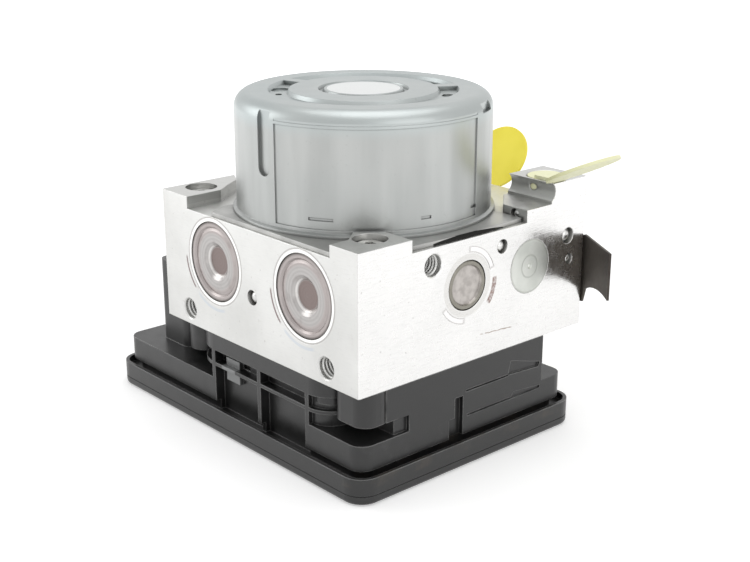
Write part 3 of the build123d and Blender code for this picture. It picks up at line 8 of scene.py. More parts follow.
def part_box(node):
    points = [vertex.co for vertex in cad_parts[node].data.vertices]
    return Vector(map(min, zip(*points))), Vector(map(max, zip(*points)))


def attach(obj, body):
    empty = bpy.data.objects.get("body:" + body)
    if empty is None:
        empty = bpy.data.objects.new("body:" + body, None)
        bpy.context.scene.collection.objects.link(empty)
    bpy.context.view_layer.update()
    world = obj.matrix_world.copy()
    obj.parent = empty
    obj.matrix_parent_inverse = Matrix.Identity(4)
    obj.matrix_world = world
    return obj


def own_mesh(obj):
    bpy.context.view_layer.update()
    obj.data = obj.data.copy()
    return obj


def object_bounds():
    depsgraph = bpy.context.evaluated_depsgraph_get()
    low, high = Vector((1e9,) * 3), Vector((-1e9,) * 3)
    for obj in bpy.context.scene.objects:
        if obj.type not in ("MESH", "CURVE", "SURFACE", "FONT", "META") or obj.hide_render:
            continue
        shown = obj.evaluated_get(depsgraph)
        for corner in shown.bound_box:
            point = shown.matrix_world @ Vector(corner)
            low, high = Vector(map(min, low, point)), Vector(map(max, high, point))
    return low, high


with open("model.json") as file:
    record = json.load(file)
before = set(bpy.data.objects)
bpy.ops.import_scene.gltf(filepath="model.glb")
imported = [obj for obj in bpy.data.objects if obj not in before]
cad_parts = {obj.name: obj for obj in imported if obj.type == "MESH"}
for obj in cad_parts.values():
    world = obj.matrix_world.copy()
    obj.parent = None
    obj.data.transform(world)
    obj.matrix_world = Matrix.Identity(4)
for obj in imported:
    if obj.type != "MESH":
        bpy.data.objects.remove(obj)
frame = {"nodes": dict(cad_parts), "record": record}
cad_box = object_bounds()

# ---------------------------------------------------------------- places in the frame and sizes of marks, metres
MM = 0.001


def node_centre(name):
    """The middle of a CAD node's box."""
    low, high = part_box(name)
    return (Vector(low) + Vector(high)) / 2


BLOCK_LOW, BLOCK_HIGH = (Vector(corner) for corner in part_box("valve_block"))
CAN_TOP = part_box("motor_can")[1][2]
HOUSING_LOW, HOUSING_HIGH = (Vector(corner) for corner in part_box("ecu_housing"))
SHAFT = node_centre("top_bush")
PUMP = node_centre("pump_plug_right")
DAMPER = node_centre("damper_plug")
ACCUMULATORS = [node_centre("accumulator_cover_left"), node_centre("accumulator_cover_right")]
MOUNTS = {mount["name"]: mount for mount in frame["record"]["mounts"]}
FRONT = BLOCK_LOW.y
RIGHT = BLOCK_HIGH.x
SEAM_Z = HOUSING_LOW.z
MOAT_Z = HOUSING_LOW.z + 4.7 * MM
FACE_DEPTH = 0.3 * MM
PLATE_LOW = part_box("motor_base_plate")[0][2]
PLATE_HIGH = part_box("motor_base_plate")[1][2]
PLATE_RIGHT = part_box("motor_base_plate")[1][0]
LABEL_RADIUS = 11.6 * MM
# Blank pad on the housing's front: its middle and half size, across and up
PAD_X, PAD_WIDE, PAD_Z, PAD_TALL = -1.65 * MM, 3.6 * MM, 22 * MM, 4 * MM
# Painted shade for the bowed gap under the base plate's right edge: its middle, half length and height
GAP_Y, GAP_REACH, GAP_RISE = -2 * MM, 18 * MM, 1.5 * MM
# Scratch on the right face: its middle, half length and slope
SCRATCH_Y, SCRATCH_REACH, SCRATCH_SLOPE = PUMP.y + 13.3 * MM, 6 * MM, -0.0625
SCRATCH_Z = PUMP.z - 17.9 * MM
# Rings round each accumulator, on the front face; the rim and glint rings are painted highlights
RIM_HIGHLIGHT_RADIUS = 13.75 * MM
TURNED_EDGE_RADIUS = 14.5 * MM
STAKING_CUT_RADIUS = 16.1 * MM
GLINT_RADIUS = 16.2 * MM
# Rings and marks round the pump plug, on the right face; turns are degrees from the rear
PLUG_RING_RADIUS = 9.1 * MM
CRESCENT_RADIUS = 11.3 * MM
CRESCENTS = ((52.0, 34.0), (-122.0, 26.0))
SMEAR_RADIUS = 12.0 * MM
# Lip of the turned accumulator covers, and radians per metre in the wave of their fine rings
COVER_LIP_RADIUS = 5.1 * MM
COVER_RING_DENSITY = 5200.0
# Rings of the damper disc
DAMPER_INNER_RADIUS = 3.6 * MM
DAMPER_EDGE_RADIUS = 8.6 * MM


# ---------------------------------------------------------------- material building
class Graph:
    """A material's node tree with short calls for the nodes used here."""

    def __init__(self, name):
        self.material = bpy.data.materials.new(name)
        self.material.use_nodes = True
        self.tree = self.material.node_tree
        self.shader = self.tree.nodes["Principled BSDF"]
        self.place = self.tree.nodes.new("ShaderNodeTexCoord").outputs["Object"]

    def link(self, source, socket):
        self.tree.links.new(source, socket)

    def put(self, socket, value):
        """Sets a socket to a number or colour, or links it."""
        if isinstance(value, bpy.types.NodeSocket):
            self.link(value, socket)
        else:
            socket.default_value = value

    def math(self, operation, first, second=0.0, clamp=False):
        node = self.tree.nodes.new("ShaderNodeMath")
        node.operation = operation
        node.use_clamp = clamp
        self.put(node.inputs[0], first)
        self.put(node.inputs[1], second)
        return node.outputs[0]

    def stretch(self, scale):
        """Object coordinates, scaled along each axis."""
        node = self.tree.nodes.new("ShaderNodeMapping")
        self.link(self.place, node.inputs["Vector"])
        node.inputs["Scale"].default_value = scale
        return node.outputs["Vector"]

    def noise(self, scale, detail=3.0, vector=None, rough=0.5):
        node = self.tree.nodes.new("ShaderNodeTexNoise")
        node.inputs["Scale"].default_value = scale
        node.inputs["Detail"].default_value = detail
        node.inputs["Roughness"].default_value = rough
        self.link(vector or self.place, node.inputs["Vector"])
        return node.outputs["Fac"]

    def ramp(self, factor, low, high):
        """Zero below low, one above high, smooth between."""
        node = self.tree.nodes.new("ShaderNodeMapRange")
        node.interpolation_type = "SMOOTHSTEP"
        self.link(factor, node.inputs["Value"])
        node.inputs["From Min"].default_value = low
        node.inputs["From Max"].default_value = high
        return node.outputs["Result"]

    def mix(self, factor, first, second):
        node = self.tree.nodes.new("ShaderNodeMix")
        node.data_type = "RGBA"
        self.put(node.inputs["Factor"], factor)
        self.put(node.inputs["A"], first)
        self.put(node.inputs["B"], second)
        return node.outputs["Result"]

    def tint(self, base, mask, share, colour):
        """Mixes a share of a colour in where the mask is one."""
        return self.mix(self.math("MULTIPLY", mask, share), base, rgba(*colour))

    def uneven_roughness(self, tone, spread, level):
        rough = self.math("ADD", self.math("MULTIPLY", tone, spread), level, clamp=True)
        self.put(self.shader.inputs["Roughness"], rough)

    def corners(self, radius):
        """One along sharp edges, where the rounded normal leaves the flat one."""
        geometry = self.tree.nodes.new("ShaderNodeNewGeometry")
        product = self.tree.nodes.new("ShaderNodeVectorMath")
        product.operation = "DOT_PRODUCT"
        self.link(self.soft_edges(radius), product.inputs[0])
        self.link(geometry.outputs["Normal"], product.inputs[1])
        return self.math("SUBTRACT", 1.0, self.ramp(product.outputs["Value"], 0.80, 0.97))

    def bump(self, height, strength, distance, edge=0.0):
        node = self.tree.nodes.new("ShaderNodeBump")
        node.inputs["Strength"].default_value = strength
        node.inputs["Distance"].default_value = distance
        if edge:
            self.link(self.soft_edges(edge), node.inputs["Normal"])
        self.link(height, node.inputs["Height"])
        self.link(node.outputs["Normal"], self.shader.inputs["Normal"])

    def axis(self, name):
        node = self.tree.nodes.new("ShaderNodeSeparateXYZ")
        self.link(self.place, node.inputs["Vector"])
        return node.outputs[name]

    def radius(self, first, centre_first, second, centre_second):
        """Distance from a line that runs along the third axis."""
        a = self.math("SUBTRACT", self.axis(first), centre_first)
        b = self.math("SUBTRACT", self.axis(second), centre_second)
        return self.math("SQRT", self.math("ADD", self.math("MULTIPLY", a, a), self.math("MULTIPLY", b, b)))

    def angle(self, first, centre_first, second, centre_second):
        """Degrees round a line that runs along the third axis, from the first axis toward the second."""
        a = self.math("SUBTRACT", self.axis(first), centre_first)
        b = self.math("SUBTRACT", self.axis(second), centre_second)
        return self.math("MULTIPLY", self.math("ARCTAN2", b, a), 180 / math.pi)

    def band(self, value, centre, half, soft):
        """One inside a band round a value, falling to zero over a soft edge."""
        away = self.math("ABSOLUTE", self.math("SUBTRACT", value, centre))
        return self.math("SUBTRACT", 1.0, self.ramp(away, half, half + soft))

    def both(self, *factors):
        """The product of masks: one where all of them are."""
        result = factors[0]
        for factor in factors[1:]:
            result = self.math("MULTIPLY", result, factor)
        return result

    def open_to_light(self, reach):
        """One on open surfaces, toward zero in creases, slots and bores."""
        node = self.tree.nodes.new("ShaderNodeAmbientOcclusion")
        node.samples = 8
        node.inputs["Distance"].default_value = reach
        return node.outputs["AO"]

    def soft_edges(self, radius):
        """A normal that rounds sharp edges, for the bump to start from."""
        node = self.tree.nodes.new("ShaderNodeBevel")
        node.samples = 4
        node.inputs["Radius"].default_value = radius
        return node.outputs["Normal"]


def rgba(red, green, blue):
    return (red, green, blue, 1.0)


ROUGHNESS_SPREAD = 0.16


def finish(name, colour, metallic, roughness, second=None, mottle=60.0, grain=900.0, grain_depth=0.02,
           brush=None):
    """A surface with mottled colour, uneven gloss and a fine grain."""
    graph = Graph(name)
    shader = graph.shader
    shader.inputs["Metallic"].default_value = metallic
    patches = graph.noise(mottle, 4.0)
    other = second or tuple(channel * 0.8 for channel in colour)
    base = graph.mix(graph.ramp(patches, 0.35, 0.7), rgba(*colour), rgba(*other))
    graph.put(shader.inputs["Base Color"], base)
    fine = graph.noise(grain, 2.0, graph.stretch(brush) if brush else None)
    spread = graph.math("MULTIPLY", graph.math("SUBTRACT", fine, 0.5), ROUGHNESS_SPREAD)
    graph.put(shader.inputs["Roughness"], graph.math("ADD", spread, roughness, clamp=True))
    graph.bump(fine, 0.5, grain_depth * MM)
    return graph


def assign(graph, *names):
    for name in names:
        mesh = frame["nodes"][name].data
        mesh.materials.clear()
        mesh.materials.append(graph.material)


# ---------------------------------------------------------------- materials
def darkened(graph, base, reach, low, high, depth, shade):
    """Mixes a darker colour into creases: painted shade, with some dirt there."""
    closed = graph.math("SUBTRACT", 1.0, graph.ramp(graph.open_to_light(reach), low, high))
    return graph.tint(base, closed, depth, shade)


def block_material():
    """Milled aluminium, with rings and staking marks round the accumulators and the pump plug; painted light on
    the right face, painted shade on the upper faces and in creases, and painted highlight rings.
    """
    graph = Graph("machined_aluminium")
    shader = graph.shader
    shader.inputs["Metallic"].default_value = 1.0
    patches = graph.noise(35.0, 5.0)
    base = graph.mix(graph.ramp(patches, 0.3, 0.75), rgba(0.72, 0.72, 0.705), rgba(0.62, 0.62, 0.605))
    near_right = graph.math("GREATER_THAN", graph.axis("X"), RIGHT - FACE_DEPTH)
    near_front = graph.math("LESS_THAN", graph.axis("Y"), FRONT + FACE_DEPTH)
    # Painted light: the right face gets a lighter copy of the aluminium colour, for the stronger light on that
    # side
    right = graph.mix(graph.ramp(patches, 0.3, 0.75), rgba(0.86, 0.855, 0.845), rgba(0.80, 0.795, 0.785))
    base = graph.mix(near_right, base, right)
    # Painted shade: upper faces, off the front and right faces, get a darker copy of the aluminium colour
    upward = graph.math("GREATER_THAN", graph.axis("Z"), PLATE_HIGH)
    base = graph.mix(graph.both(upward, graph.math("SUBTRACT", 1.0, near_front),
                                graph.math("SUBTRACT", 1.0, near_right)), base, rgba(0.60, 0.60, 0.585))
    lines = graph.noise(260.0, 2.0, graph.stretch((1.0, 1.0, 9.0)))
    base = graph.tint(base, graph.ramp(lines, 0.45, 0.75), 0.16, (0.55, 0.55, 0.54))
    specks = graph.ramp(graph.noise(700.0, 2.0), 0.68, 0.76)
    base = graph.tint(base, specks, 0.4, (0.40, 0.38, 0.36))
    scuffs = graph.ramp(graph.noise(55.0, 8.0, rough=0.75), 0.66, 0.72)
    base = graph.tint(base, scuffs, 0.3, (0.52, 0.50, 0.48))
    # Turned rings, a painted highlight ring on the rim, a painted glint and the dark staking cuts round each
    # accumulator
    relief = None
    for centre in ACCUMULATORS:
        reach = graph.radius("X", centre.x, "Z", centre.z)
        turn = graph.angle("X", centre.x, "Z", centre.z)
        # Painted highlight: a bright ring along the rim of each accumulator bore
        painted_rim_highlight = graph.both(near_front, graph.band(reach, RIM_HIGHLIGHT_RADIUS, 0.3 * MM, 0.2 * MM))
        base = graph.mix(painted_rim_highlight, base, rgba(0.92, 0.915, 0.90))
        edge = graph.both(near_front, graph.band(reach, TURNED_EDGE_RADIUS, 0.1 * MM, 0.25 * MM))
        base = graph.tint(base, edge, 0.6, (0.36, 0.34, 0.33))
        cut = graph.both(near_front, graph.band(reach, STAKING_CUT_RADIUS, 0.28 * MM, 0.15 * MM),
                         graph.band(turn, -155.0, 17.0, 5.0))
        base = graph.tint(base, cut, 0.85, (0.20, 0.14, 0.14))
        glint = graph.both(near_front, graph.band(reach, GLINT_RADIUS, 0.35 * MM, 0.3 * MM),
                           graph.band(turn, -100.0, 22.0, 8.0))
        base = graph.tint(base, glint, 0.5, (0.50, 0.55, 0.62))
        groove = graph.math("MAXIMUM", edge, cut)
        relief = groove if relief is None else graph.math("MAXIMUM", relief, groove)
    # Staking crescents, a brown smear and a scratch round the pump plug
    reach = graph.radius("Y", PUMP.y, "Z", PUMP.z)
    turn = graph.angle("Y", PUMP.y, "Z", PUMP.z)
    ring = graph.both(near_right, graph.band(reach, PLUG_RING_RADIUS, 0.7 * MM, 0.4 * MM))
    base = graph.tint(base, ring, 0.3, (0.50, 0.48, 0.44))
    for middle, half in CRESCENTS:
        crescent = graph.both(near_right, graph.band(reach, CRESCENT_RADIUS, 0.9 * MM, 0.15 * MM),
                              graph.band(turn, middle, half, 4.0))
        inside = graph.both(near_right, graph.band(reach, CRESCENT_RADIUS, 0.6 * MM, 0.15 * MM),
                            graph.band(turn, middle, half - 4.0, 4.0))
        base = graph.tint(base, crescent, 0.45, (0.42, 0.40, 0.39))
        base = graph.mix(inside, base, rgba(0.90, 0.885, 0.88))
        relief = graph.math("MAXIMUM", relief, graph.math("SUBTRACT", crescent, inside))
    smear = graph.both(near_right, graph.band(reach, SMEAR_RADIUS, 0.75 * MM, 0.3 * MM),
                       graph.band(turn, -19.0, 18.0, 4.0))
    streaks = graph.ramp(graph.noise(1500.0, 2.0), 0.3, 0.6)
    base = graph.mix(graph.both(smear, graph.math("ADD", graph.math("MULTIPLY", streaks, 0.5), 0.4)),
                     base, rgba(0.26, 0.17, 0.15))
    across = graph.axis("Y")
    slope = graph.math("MULTIPLY", graph.math("SUBTRACT", across, SCRATCH_Y), SCRATCH_SLOPE)
    off_line = graph.math("SUBTRACT", graph.math("SUBTRACT", graph.axis("Z"), SCRATCH_Z), slope)
    wander = graph.math("MULTIPLY", graph.math("SUBTRACT", graph.noise(400.0, 3.0), 0.5), 0.9 * MM)
    line = graph.band(graph.math("ADD", off_line, wander), 0.0, 0.12 * MM, 0.12 * MM)
    scratch = graph.both(near_right, line,
                         graph.band(across, SCRATCH_Y, SCRATCH_REACH, 2.0 * MM),
                         graph.ramp(graph.noise(300.0, 2.0), 0.35, 0.5))
    base = graph.tint(base, scratch, 0.8, (0.36, 0.29, 0.25))
    # Painted shade in creases, slots and bores, with some dirt
    base = darkened(graph, base, 4.0 * MM, 0.15, 0.85, 0.6, (0.16, 0.155, 0.15))
    graph.put(shader.inputs["Base Color"], base)
    # The right face is smoother than the rest; uneven gloss all over breaks up the bracket's reflection
    rough = graph.math("SUBTRACT", 0.40, graph.math("MULTIPLY", near_right, 0.16))
    mottle = graph.math("MULTIPLY", graph.math("SUBTRACT", graph.noise(420.0, 5.0), 0.5), 0.34)
    graph.put(shader.inputs["Roughness"], graph.math("ADD", rough, mottle, clamp=True))
    height = graph.math("SUBTRACT", graph.math("MULTIPLY", lines, 0.3), relief)
    graph.bump(height, 0.6, 0.12 * MM, edge=0.35 * MM)
    return graph


def can_material():
    """Deep-drawn steel under satin zinc, with faint upright draw lines and a blank round label on top."""
    graph = Graph("plated_can")
    shader = graph.shader
    label = graph.both(graph.math("SUBTRACT", 1.0, graph.ramp(graph.radius("X", SHAFT.x, "Y", SHAFT.y),
                                                              LABEL_RADIUS, LABEL_RADIUS + 0.1 * MM)),
                       graph.math("GREATER_THAN", graph.axis("Z"), CAN_TOP - 0.5 * MM))
    graph.put(shader.inputs["Metallic"], graph.math("MULTIPLY", graph.math("SUBTRACT", 1.0, label), 0.9))
    streaks = graph.noise(120.0, 3.0, graph.stretch((1.0, 1.0, 0.12)))
    base = graph.mix(graph.ramp(streaks, 0.3, 0.7), rgba(0.445, 0.458, 0.45), rgba(0.385, 0.397, 0.39))
    crown = graph.ramp(graph.axis("Z"), CAN_TOP - 9 * MM, CAN_TOP - 5 * MM)
    base = graph.tint(base, crown, 0.85, (0.415, 0.455, 0.455))
    clouds = graph.ramp(graph.noise(22.0, 4.0), 0.4, 0.65)
    base = graph.tint(base, clouds, 0.25, (0.50, 0.50, 0.485))
    dots = graph.ramp(graph.noise(900.0, 2.0), 0.68, 0.76)
    base = graph.tint(base, dots, 0.3, (0.30, 0.31, 0.31))
    # Painted shade in the slots, pockets and creases, with some dirt
    base = darkened(graph, base, 3.5 * MM, 0.2, 0.9, 0.85, (0.07, 0.07, 0.068))
    base = graph.mix(label, base, rgba(0.76, 0.775, 0.77))
    graph.put(shader.inputs["Base Color"], base)
    fine = graph.noise(1500.0, 2.0)
    gloss = graph.math("MULTIPLY", graph.math("SUBTRACT", streaks, 0.5), 0.16)
    graph.put(shader.inputs["Roughness"], graph.math("ADD", gloss, 0.36, clamp=True))
    graph.bump(graph.math("ADD", fine, streaks), 0.3, 0.04 * MM, edge=0.3 * MM)
    return graph


def moulded_material(name, colour, worn):
    """Dark moulding, pebbled and scuffed, with a seam line, dirt in the moat, a blank pad in front, painted
    highlights along its edges and painted shade in its creases.
    """
    graph = Graph(name)
    shader = graph.shader
    shader.inputs["Specular IOR Level"].default_value = 0.6
    scuffs = graph.ramp(graph.noise(45.0, 6.0, rough=0.65), 0.58, 0.72)
    base = graph.mix(graph.math("MULTIPLY", scuffs, 0.5), rgba(*colour), rgba(*worn))
    dust = graph.both(graph.ramp(graph.noise(160.0, 5.0), 0.45, 0.7),
                      graph.band(graph.axis("Z"), MOAT_Z, 1.6 * MM, 1.0 * MM),
                      graph.math("GREATER_THAN", graph.axis("X"), HOUSING_HIGH.x - 8 * MM))
    base = graph.tint(base, dust, 0.6, (0.05, 0.04, 0.03))
    # Painted highlight: a patchy lighter colour along the sharp edges
    painted_edge_highlight = graph.both(graph.corners(0.6 * MM), graph.ramp(graph.noise(90.0, 4.0), 0.25, 0.55))
    base = graph.tint(base, painted_edge_highlight, 0.85, (0.30, 0.30, 0.295))
    pad = graph.both(graph.band(graph.axis("X"), PAD_X, PAD_WIDE, 0.1 * MM),
                     graph.band(graph.axis("Z"), PAD_Z, PAD_TALL, 0.1 * MM),
                     graph.math("LESS_THAN", graph.axis("Y"), FRONT + 12 * MM))
    base = graph.tint(base, pad, 0.9, (0.25, 0.255, 0.255))
    seam = graph.band(graph.axis("Z"), SEAM_Z, 0.16 * MM, 0.12 * MM)
    base = graph.mix(seam, base, rgba(0.003, 0.003, 0.003))
    # Painted shade in creases and the moat, with some dirt
    base = darkened(graph, base, 5.0 * MM, 0.1, 0.8, 0.7, (0.004, 0.004, 0.004))
    graph.put(shader.inputs["Base Color"], base)
    pebble = graph.noise(1600.0, 3.0)
    gloss = graph.math("MULTIPLY", graph.math("SUBTRACT", graph.noise(180.0, 3.0), 0.5), 0.2)
    dull_seam = graph.math("MULTIPLY", seam, 0.5)
    rough = graph.math("ADD", graph.math("ADD", gloss, 0.33), dull_seam, clamp=True)
    graph.put(shader.inputs["Roughness"], rough)
    height = graph.math("SUBTRACT", graph.math("MULTIPLY", pebble, 0.3), seam)
    graph.bump(height, 0.5, 0.15 * MM, edge=0.35 * MM)
    return graph


def turned_cover_material():
    """Accumulator covers: turned steel in mauve-grey rings, darker in the middle, with a painted highlight on
    the lip, painted shade round the outer edge and painted shade in creases.
    """
    graph = Graph("accumulator_steel")
    shader = graph.shader
    shader.inputs["Metallic"].default_value = 1.0
    reach = None
    for centre in ACCUMULATORS:
        here = graph.radius("X", centre.x, "Z", centre.z)
        reach = here if reach is None else graph.math("MINIMUM", reach, here)
    wave = graph.math("SINE", graph.math("MULTIPLY", reach, COVER_RING_DENSITY))
    rings = graph.math("MULTIPLY", graph.math("ADD", wave, 1.0), 0.5)
    base = graph.mix(graph.math("MULTIPLY", rings, 0.35), rgba(0.46, 0.445, 0.435), rgba(0.30, 0.285, 0.28))
    outer = graph.ramp(reach, 8.8 * MM, 9.8 * MM)
    base = graph.tint(base, outer, 0.75, (0.40, 0.355, 0.345))
    middle = graph.math("SUBTRACT", 1.0, graph.ramp(reach, 4.3 * MM, 4.9 * MM))
    base = graph.tint(base, middle, 0.9, (0.20, 0.155, 0.145))
    # Painted highlight: a bright ring on the edge of the lip
    painted_lip_highlight = graph.band(reach, COVER_LIP_RADIUS, 0.15 * MM, 0.2 * MM)
    base = graph.tint(base, painted_lip_highlight, 0.7, (0.80, 0.78, 0.76))
    # Painted shade: a dark band round the cover's rounded outer edge
    painted_outer_edge_shade = graph.ramp(reach, 12.2 * MM, 12.8 * MM)
    base = graph.tint(base, painted_outer_edge_shade, 0.75, (0.11, 0.10, 0.095))
    blotch = graph.ramp(graph.noise(300.0, 4.0), 0.5, 0.75)
    base = graph.tint(base, blotch, 0.3, (0.24, 0.21, 0.20))
    # Painted shade in creases, with some dirt
    base = darkened(graph, base, 3.0 * MM, 0.3, 0.95, 0.5, (0.08, 0.065, 0.062))
    graph.put(shader.inputs["Base Color"], base)
    shader.inputs["Roughness"].default_value = 0.3
    graph.bump(rings, 0.25, 0.05 * MM, edge=0.25 * MM)
    return graph


def plug_material():
    """Pump plug: a plain brown-grey face in a darker turned wall."""
    graph = Graph("plug_steel")
    shader = graph.shader
    shader.inputs["Metallic"].default_value = 1.0
    reach = graph.radius("Y", PUMP.y, "Z", PUMP.z)
    tone = graph.ramp(graph.noise(420.0, 5.0), 0.35, 0.7)
    base = graph.mix(tone, rgba(0.52, 0.49, 0.465), rgba(0.40, 0.375, 0.355))
    wall = graph.ramp(reach, 6.1 * MM, 6.6 * MM)
    base = graph.tint(base, wall, 0.85, (0.24, 0.23, 0.195))
    # Painted shade in creases, with some dirt
    base = darkened(graph, base, 2.5 * MM, 0.3, 0.95, 0.6, (0.06, 0.055, 0.045))
    graph.put(shader.inputs["Base Color"], base)
    graph.uneven_roughness(tone, 0.15, 0.3)
    graph.bump(tone, 0.3, 0.05 * MM, edge=0.25 * MM)
    return graph


def damper_material():
    """Damper disc: pale grey-green, faint turned rings and a bright centre dot."""
    graph = Graph("pale_anodised_aluminium")
    shader = graph.shader
    shader.inputs["Metallic"].default_value = 0.85
    reach = graph.radius("Y", DAMPER.y, "Z", DAMPER.z)
    tone = graph.ramp(graph.noise(150.0, 4.0), 0.35, 0.7)
    base = graph.mix(tone, rgba(0.70, 0.715, 0.675), rgba(0.61, 0.63, 0.59))
    ring = graph.math("MAXIMUM", graph.band(reach, DAMPER_INNER_RADIUS, 0.15 * MM, 0.25 * MM),
                      graph.band(reach, DAMPER_EDGE_RADIUS, 0.12 * MM, 0.2 * MM))
    base = graph.tint(base, ring, 0.4, (0.36, 0.37, 0.34))
    base = graph.mix(graph.band(reach, 0.0, 0.45 * MM, 0.2 * MM), base, rgba(0.95, 0.95, 0.93))
    graph.put(shader.inputs["Base Color"], base)
    graph.uneven_roughness(tone, 0.1, 0.34)
    graph.bump(graph.math("SUBTRACT", 1.0, ring), 0.4, 0.08 * MM, edge=0.2 * MM)
    return graph


def plate_material():
    """Motor base plate: satin plating, with painted shade for the bowed gap under its right edge."""
    graph = Graph("plated_plate")
    shader = graph.shader
    shader.inputs["Metallic"].default_value = 0.9
    tone = graph.ramp(graph.noise(90.0, 4.0), 0.35, 0.7)
    base = graph.mix(tone, rgba(0.50, 0.50, 0.485), rgba(0.40, 0.40, 0.39))
    # Painted shade: a black lens on the plate's right side face, for the shade in the bowed gap under its edge
    across = graph.math("DIVIDE", graph.math("SUBTRACT", graph.axis("Y"), GAP_Y), GAP_REACH)
    bow = graph.math("SUBTRACT", 1.0, graph.math("MULTIPLY", across, across))
    top = graph.math("ADD", graph.math("MULTIPLY", bow, GAP_RISE), PLATE_LOW)
    under = graph.math("LESS_THAN", graph.axis("Z"), top)
    painted_gap_shade = graph.both(under, graph.math("GREATER_THAN", graph.axis("X"), PLATE_RIGHT - 0.4 * MM),
                     graph.math("GREATER_THAN", bow, 0.0))
    base = graph.mix(painted_gap_shade, base, rgba(0.012, 0.012, 0.011))
    # Painted shade in creases, with some dirt
    base = darkened(graph, base, 3.0 * MM, 0.2, 0.9, 0.6, (0.08, 0.08, 0.075))
    graph.put(shader.inputs["Base Color"], base)
    graph.uneven_roughness(tone, 0.12, 0.36)
    graph.bump(graph.noise(1200.0, 2.0), 0.3, 0.03 * MM, edge=0.25 * MM)
    return graph


BLOCK = block_material()
CAN = can_material()
HOUSING = moulded_material("housing_plastic", (0.015, 0.015, 0.015), (0.05, 0.05, 0.049))
COVER = moulded_material("cover_plastic", (0.015, 0.015, 0.015), (0.042, 0.042, 0.041))
PLATE = plate_material()
COVER_STEEL = turned_cover_material()
BRIGHT = finish("bright_steel", (0.72, 0.715, 0.70), 1.0, 0.28, (0.60, 0.60, 0.59), 220, 1500, 0.01)
PLUG_STEEL = plug_material()
DAMPER_METAL = damper_material()
ZINC = finish("zinc_screw", (0.70, 0.70, 0.68), 1.0, 0.32, (0.56, 0.56, 0.54), 260, 1500, 0.02)
SPRING = finish("spring_steel", (0.42, 0.42, 0.42), 1.0, 0.35)
RUBBER = finish("seal_rubber", (0.025, 0.025, 0.025), 0.0, 0.7, (0.035, 0.035, 0.035))
MAGNET = finish("magnet_ferrite", (0.08, 0.08, 0.085), 0.2, 0.6)
CORE = finish("core_steel", (0.32, 0.32, 0.33), 1.0, 0.45, brush=(1, 1, 40))
COPPER = finish("copper", (0.62, 0.28, 0.14), 1.0, 0.38)
CARBON = finish("brush_carbon", (0.04, 0.04, 0.042), 0.1, 0.6)
BRONZE = finish("sintered_bronze", (0.45, 0.31, 0.16), 1.0, 0.5)
BRASS = finish("contact_brass", (0.72, 0.60, 0.36), 1.0, 0.3)
NYLON = finish("holder_plastic", (0.06, 0.06, 0.06), 0.0, 0.5)
BOBBIN = finish("coil_plastic", (0.10, 0.07, 0.05), 0.0, 0.5)
LAMINATE = finish("board_laminate", (0.03, 0.17, 0.07), 0.0, 0.4)
CHIP = finish("chip_plastic", (0.03, 0.03, 0.03), 0.0, 0.55)
PISTON = finish("anodised_piston", (0.42, 0.39, 0.33), 0.9, 0.4)
# Paler than the other tag because the photo shows it overexposed: a lighter copy of the tag plastic, painted
# light
TAG_TOP = finish("tag_plastic_painted_light", (0.93, 0.93, 0.62), 0.0, 0.45, (0.90, 0.89, 0.52), 90, 1000, 0.02)
TAG = finish("tag_plastic", (0.97, 0.84, 0.055), 0.0, 0.42, (0.92, 0.79, 0.035), 90, 1000, 0.02)
BRACKET = finish("bracket_steel", (0.085, 0.075, 0.065), 0.85, 0.42, (0.05, 0.042, 0.038), 70, 900, 0.04)

assign(BLOCK, "valve_block")
assign(CAN, "motor_can")
assign(HOUSING, "ecu_housing")
assign(COVER, "ecu_cover")
assign(PLATE, "motor_base_plate")
assign(COVER_STEEL, "accumulator_cover_left", "accumulator_cover_right")
assign(PLUG_STEEL, "pump_plug_right", "pump_plug_left")
assign(DAMPER_METAL, "damper_plug")
assign(ZINC, "ecu_screws", "bracket_screw")
assign(TAG, "port_plug_rear")
assign(TAG_TOP, "port_plug_top")
assign(BRACKET, "rear_bracket")
assign(RUBBER, "housing_gasket", "accumulator_seal_left", "accumulator_seal_right")
assign(MAGNET, "motor_magnets")
assign(CORE, "armature_core", "coil_yokes")
assign(COPPER, "armature_windings", "commutator")
assign(CARBON, "carbon_brushes")
assign(BRONZE, "top_bush")
assign(BRASS, "motor_contact_pins", "connector_pins")
assign(NYLON, "brush_holder")
assign(BOBBIN, "valve_coils")
assign(LAMINATE, "circuit_board")
assign(CHIP, "board_components")
assign(PISTON, "accumulator_piston_left", "accumulator_piston_right")
for node_name in frame["nodes"]:
    if node_name.endswith("_springs") or "_spring_" in node_name:
        assign(SPRING, node_name)
    if "plunger" in node_name or "bearing" in node_name or "eccentric" in node_name:
        assign(BRIGHT, node_name)
assign(BRIGHT, "block_ball_seals", "motor_shaft", "pump_piston_right", "pump_piston_left",
       "inlet_valve_bodies", "outlet_valve_bodies")


# ---------------------------------------------------------------- each accumulator spring gets a mesh of its own
for side in ("left", "right"):
    spring_name = f"accumulator_spring_{side}"
    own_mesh(bpy.data.objects[spring_name])


# ---------------------------------------------------------------- mesh building
def new_piece(name, mesh_tool, graph, body):
    """Turns a bmesh into an object that rides on a body."""
    mesh = bpy.data.meshes.new(name)
    mesh_tool.to_mesh(mesh)
    mesh_tool.free()
    piece = bpy.data.objects.new(name, mesh)
    bpy.context.collection.objects.link(piece)
    mesh.materials.append(graph.material)
    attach(piece, body)


def facing(centre, outward, across):
    """A matrix whose Z points outward from a face and whose X runs across it."""
    z = Vector(outward).normalized()
    x = Vector(across).normalized()
    y = z.cross(x)
    return Matrix.Translation(centre) @ Matrix((x, y, z)).transposed().to_4x4()


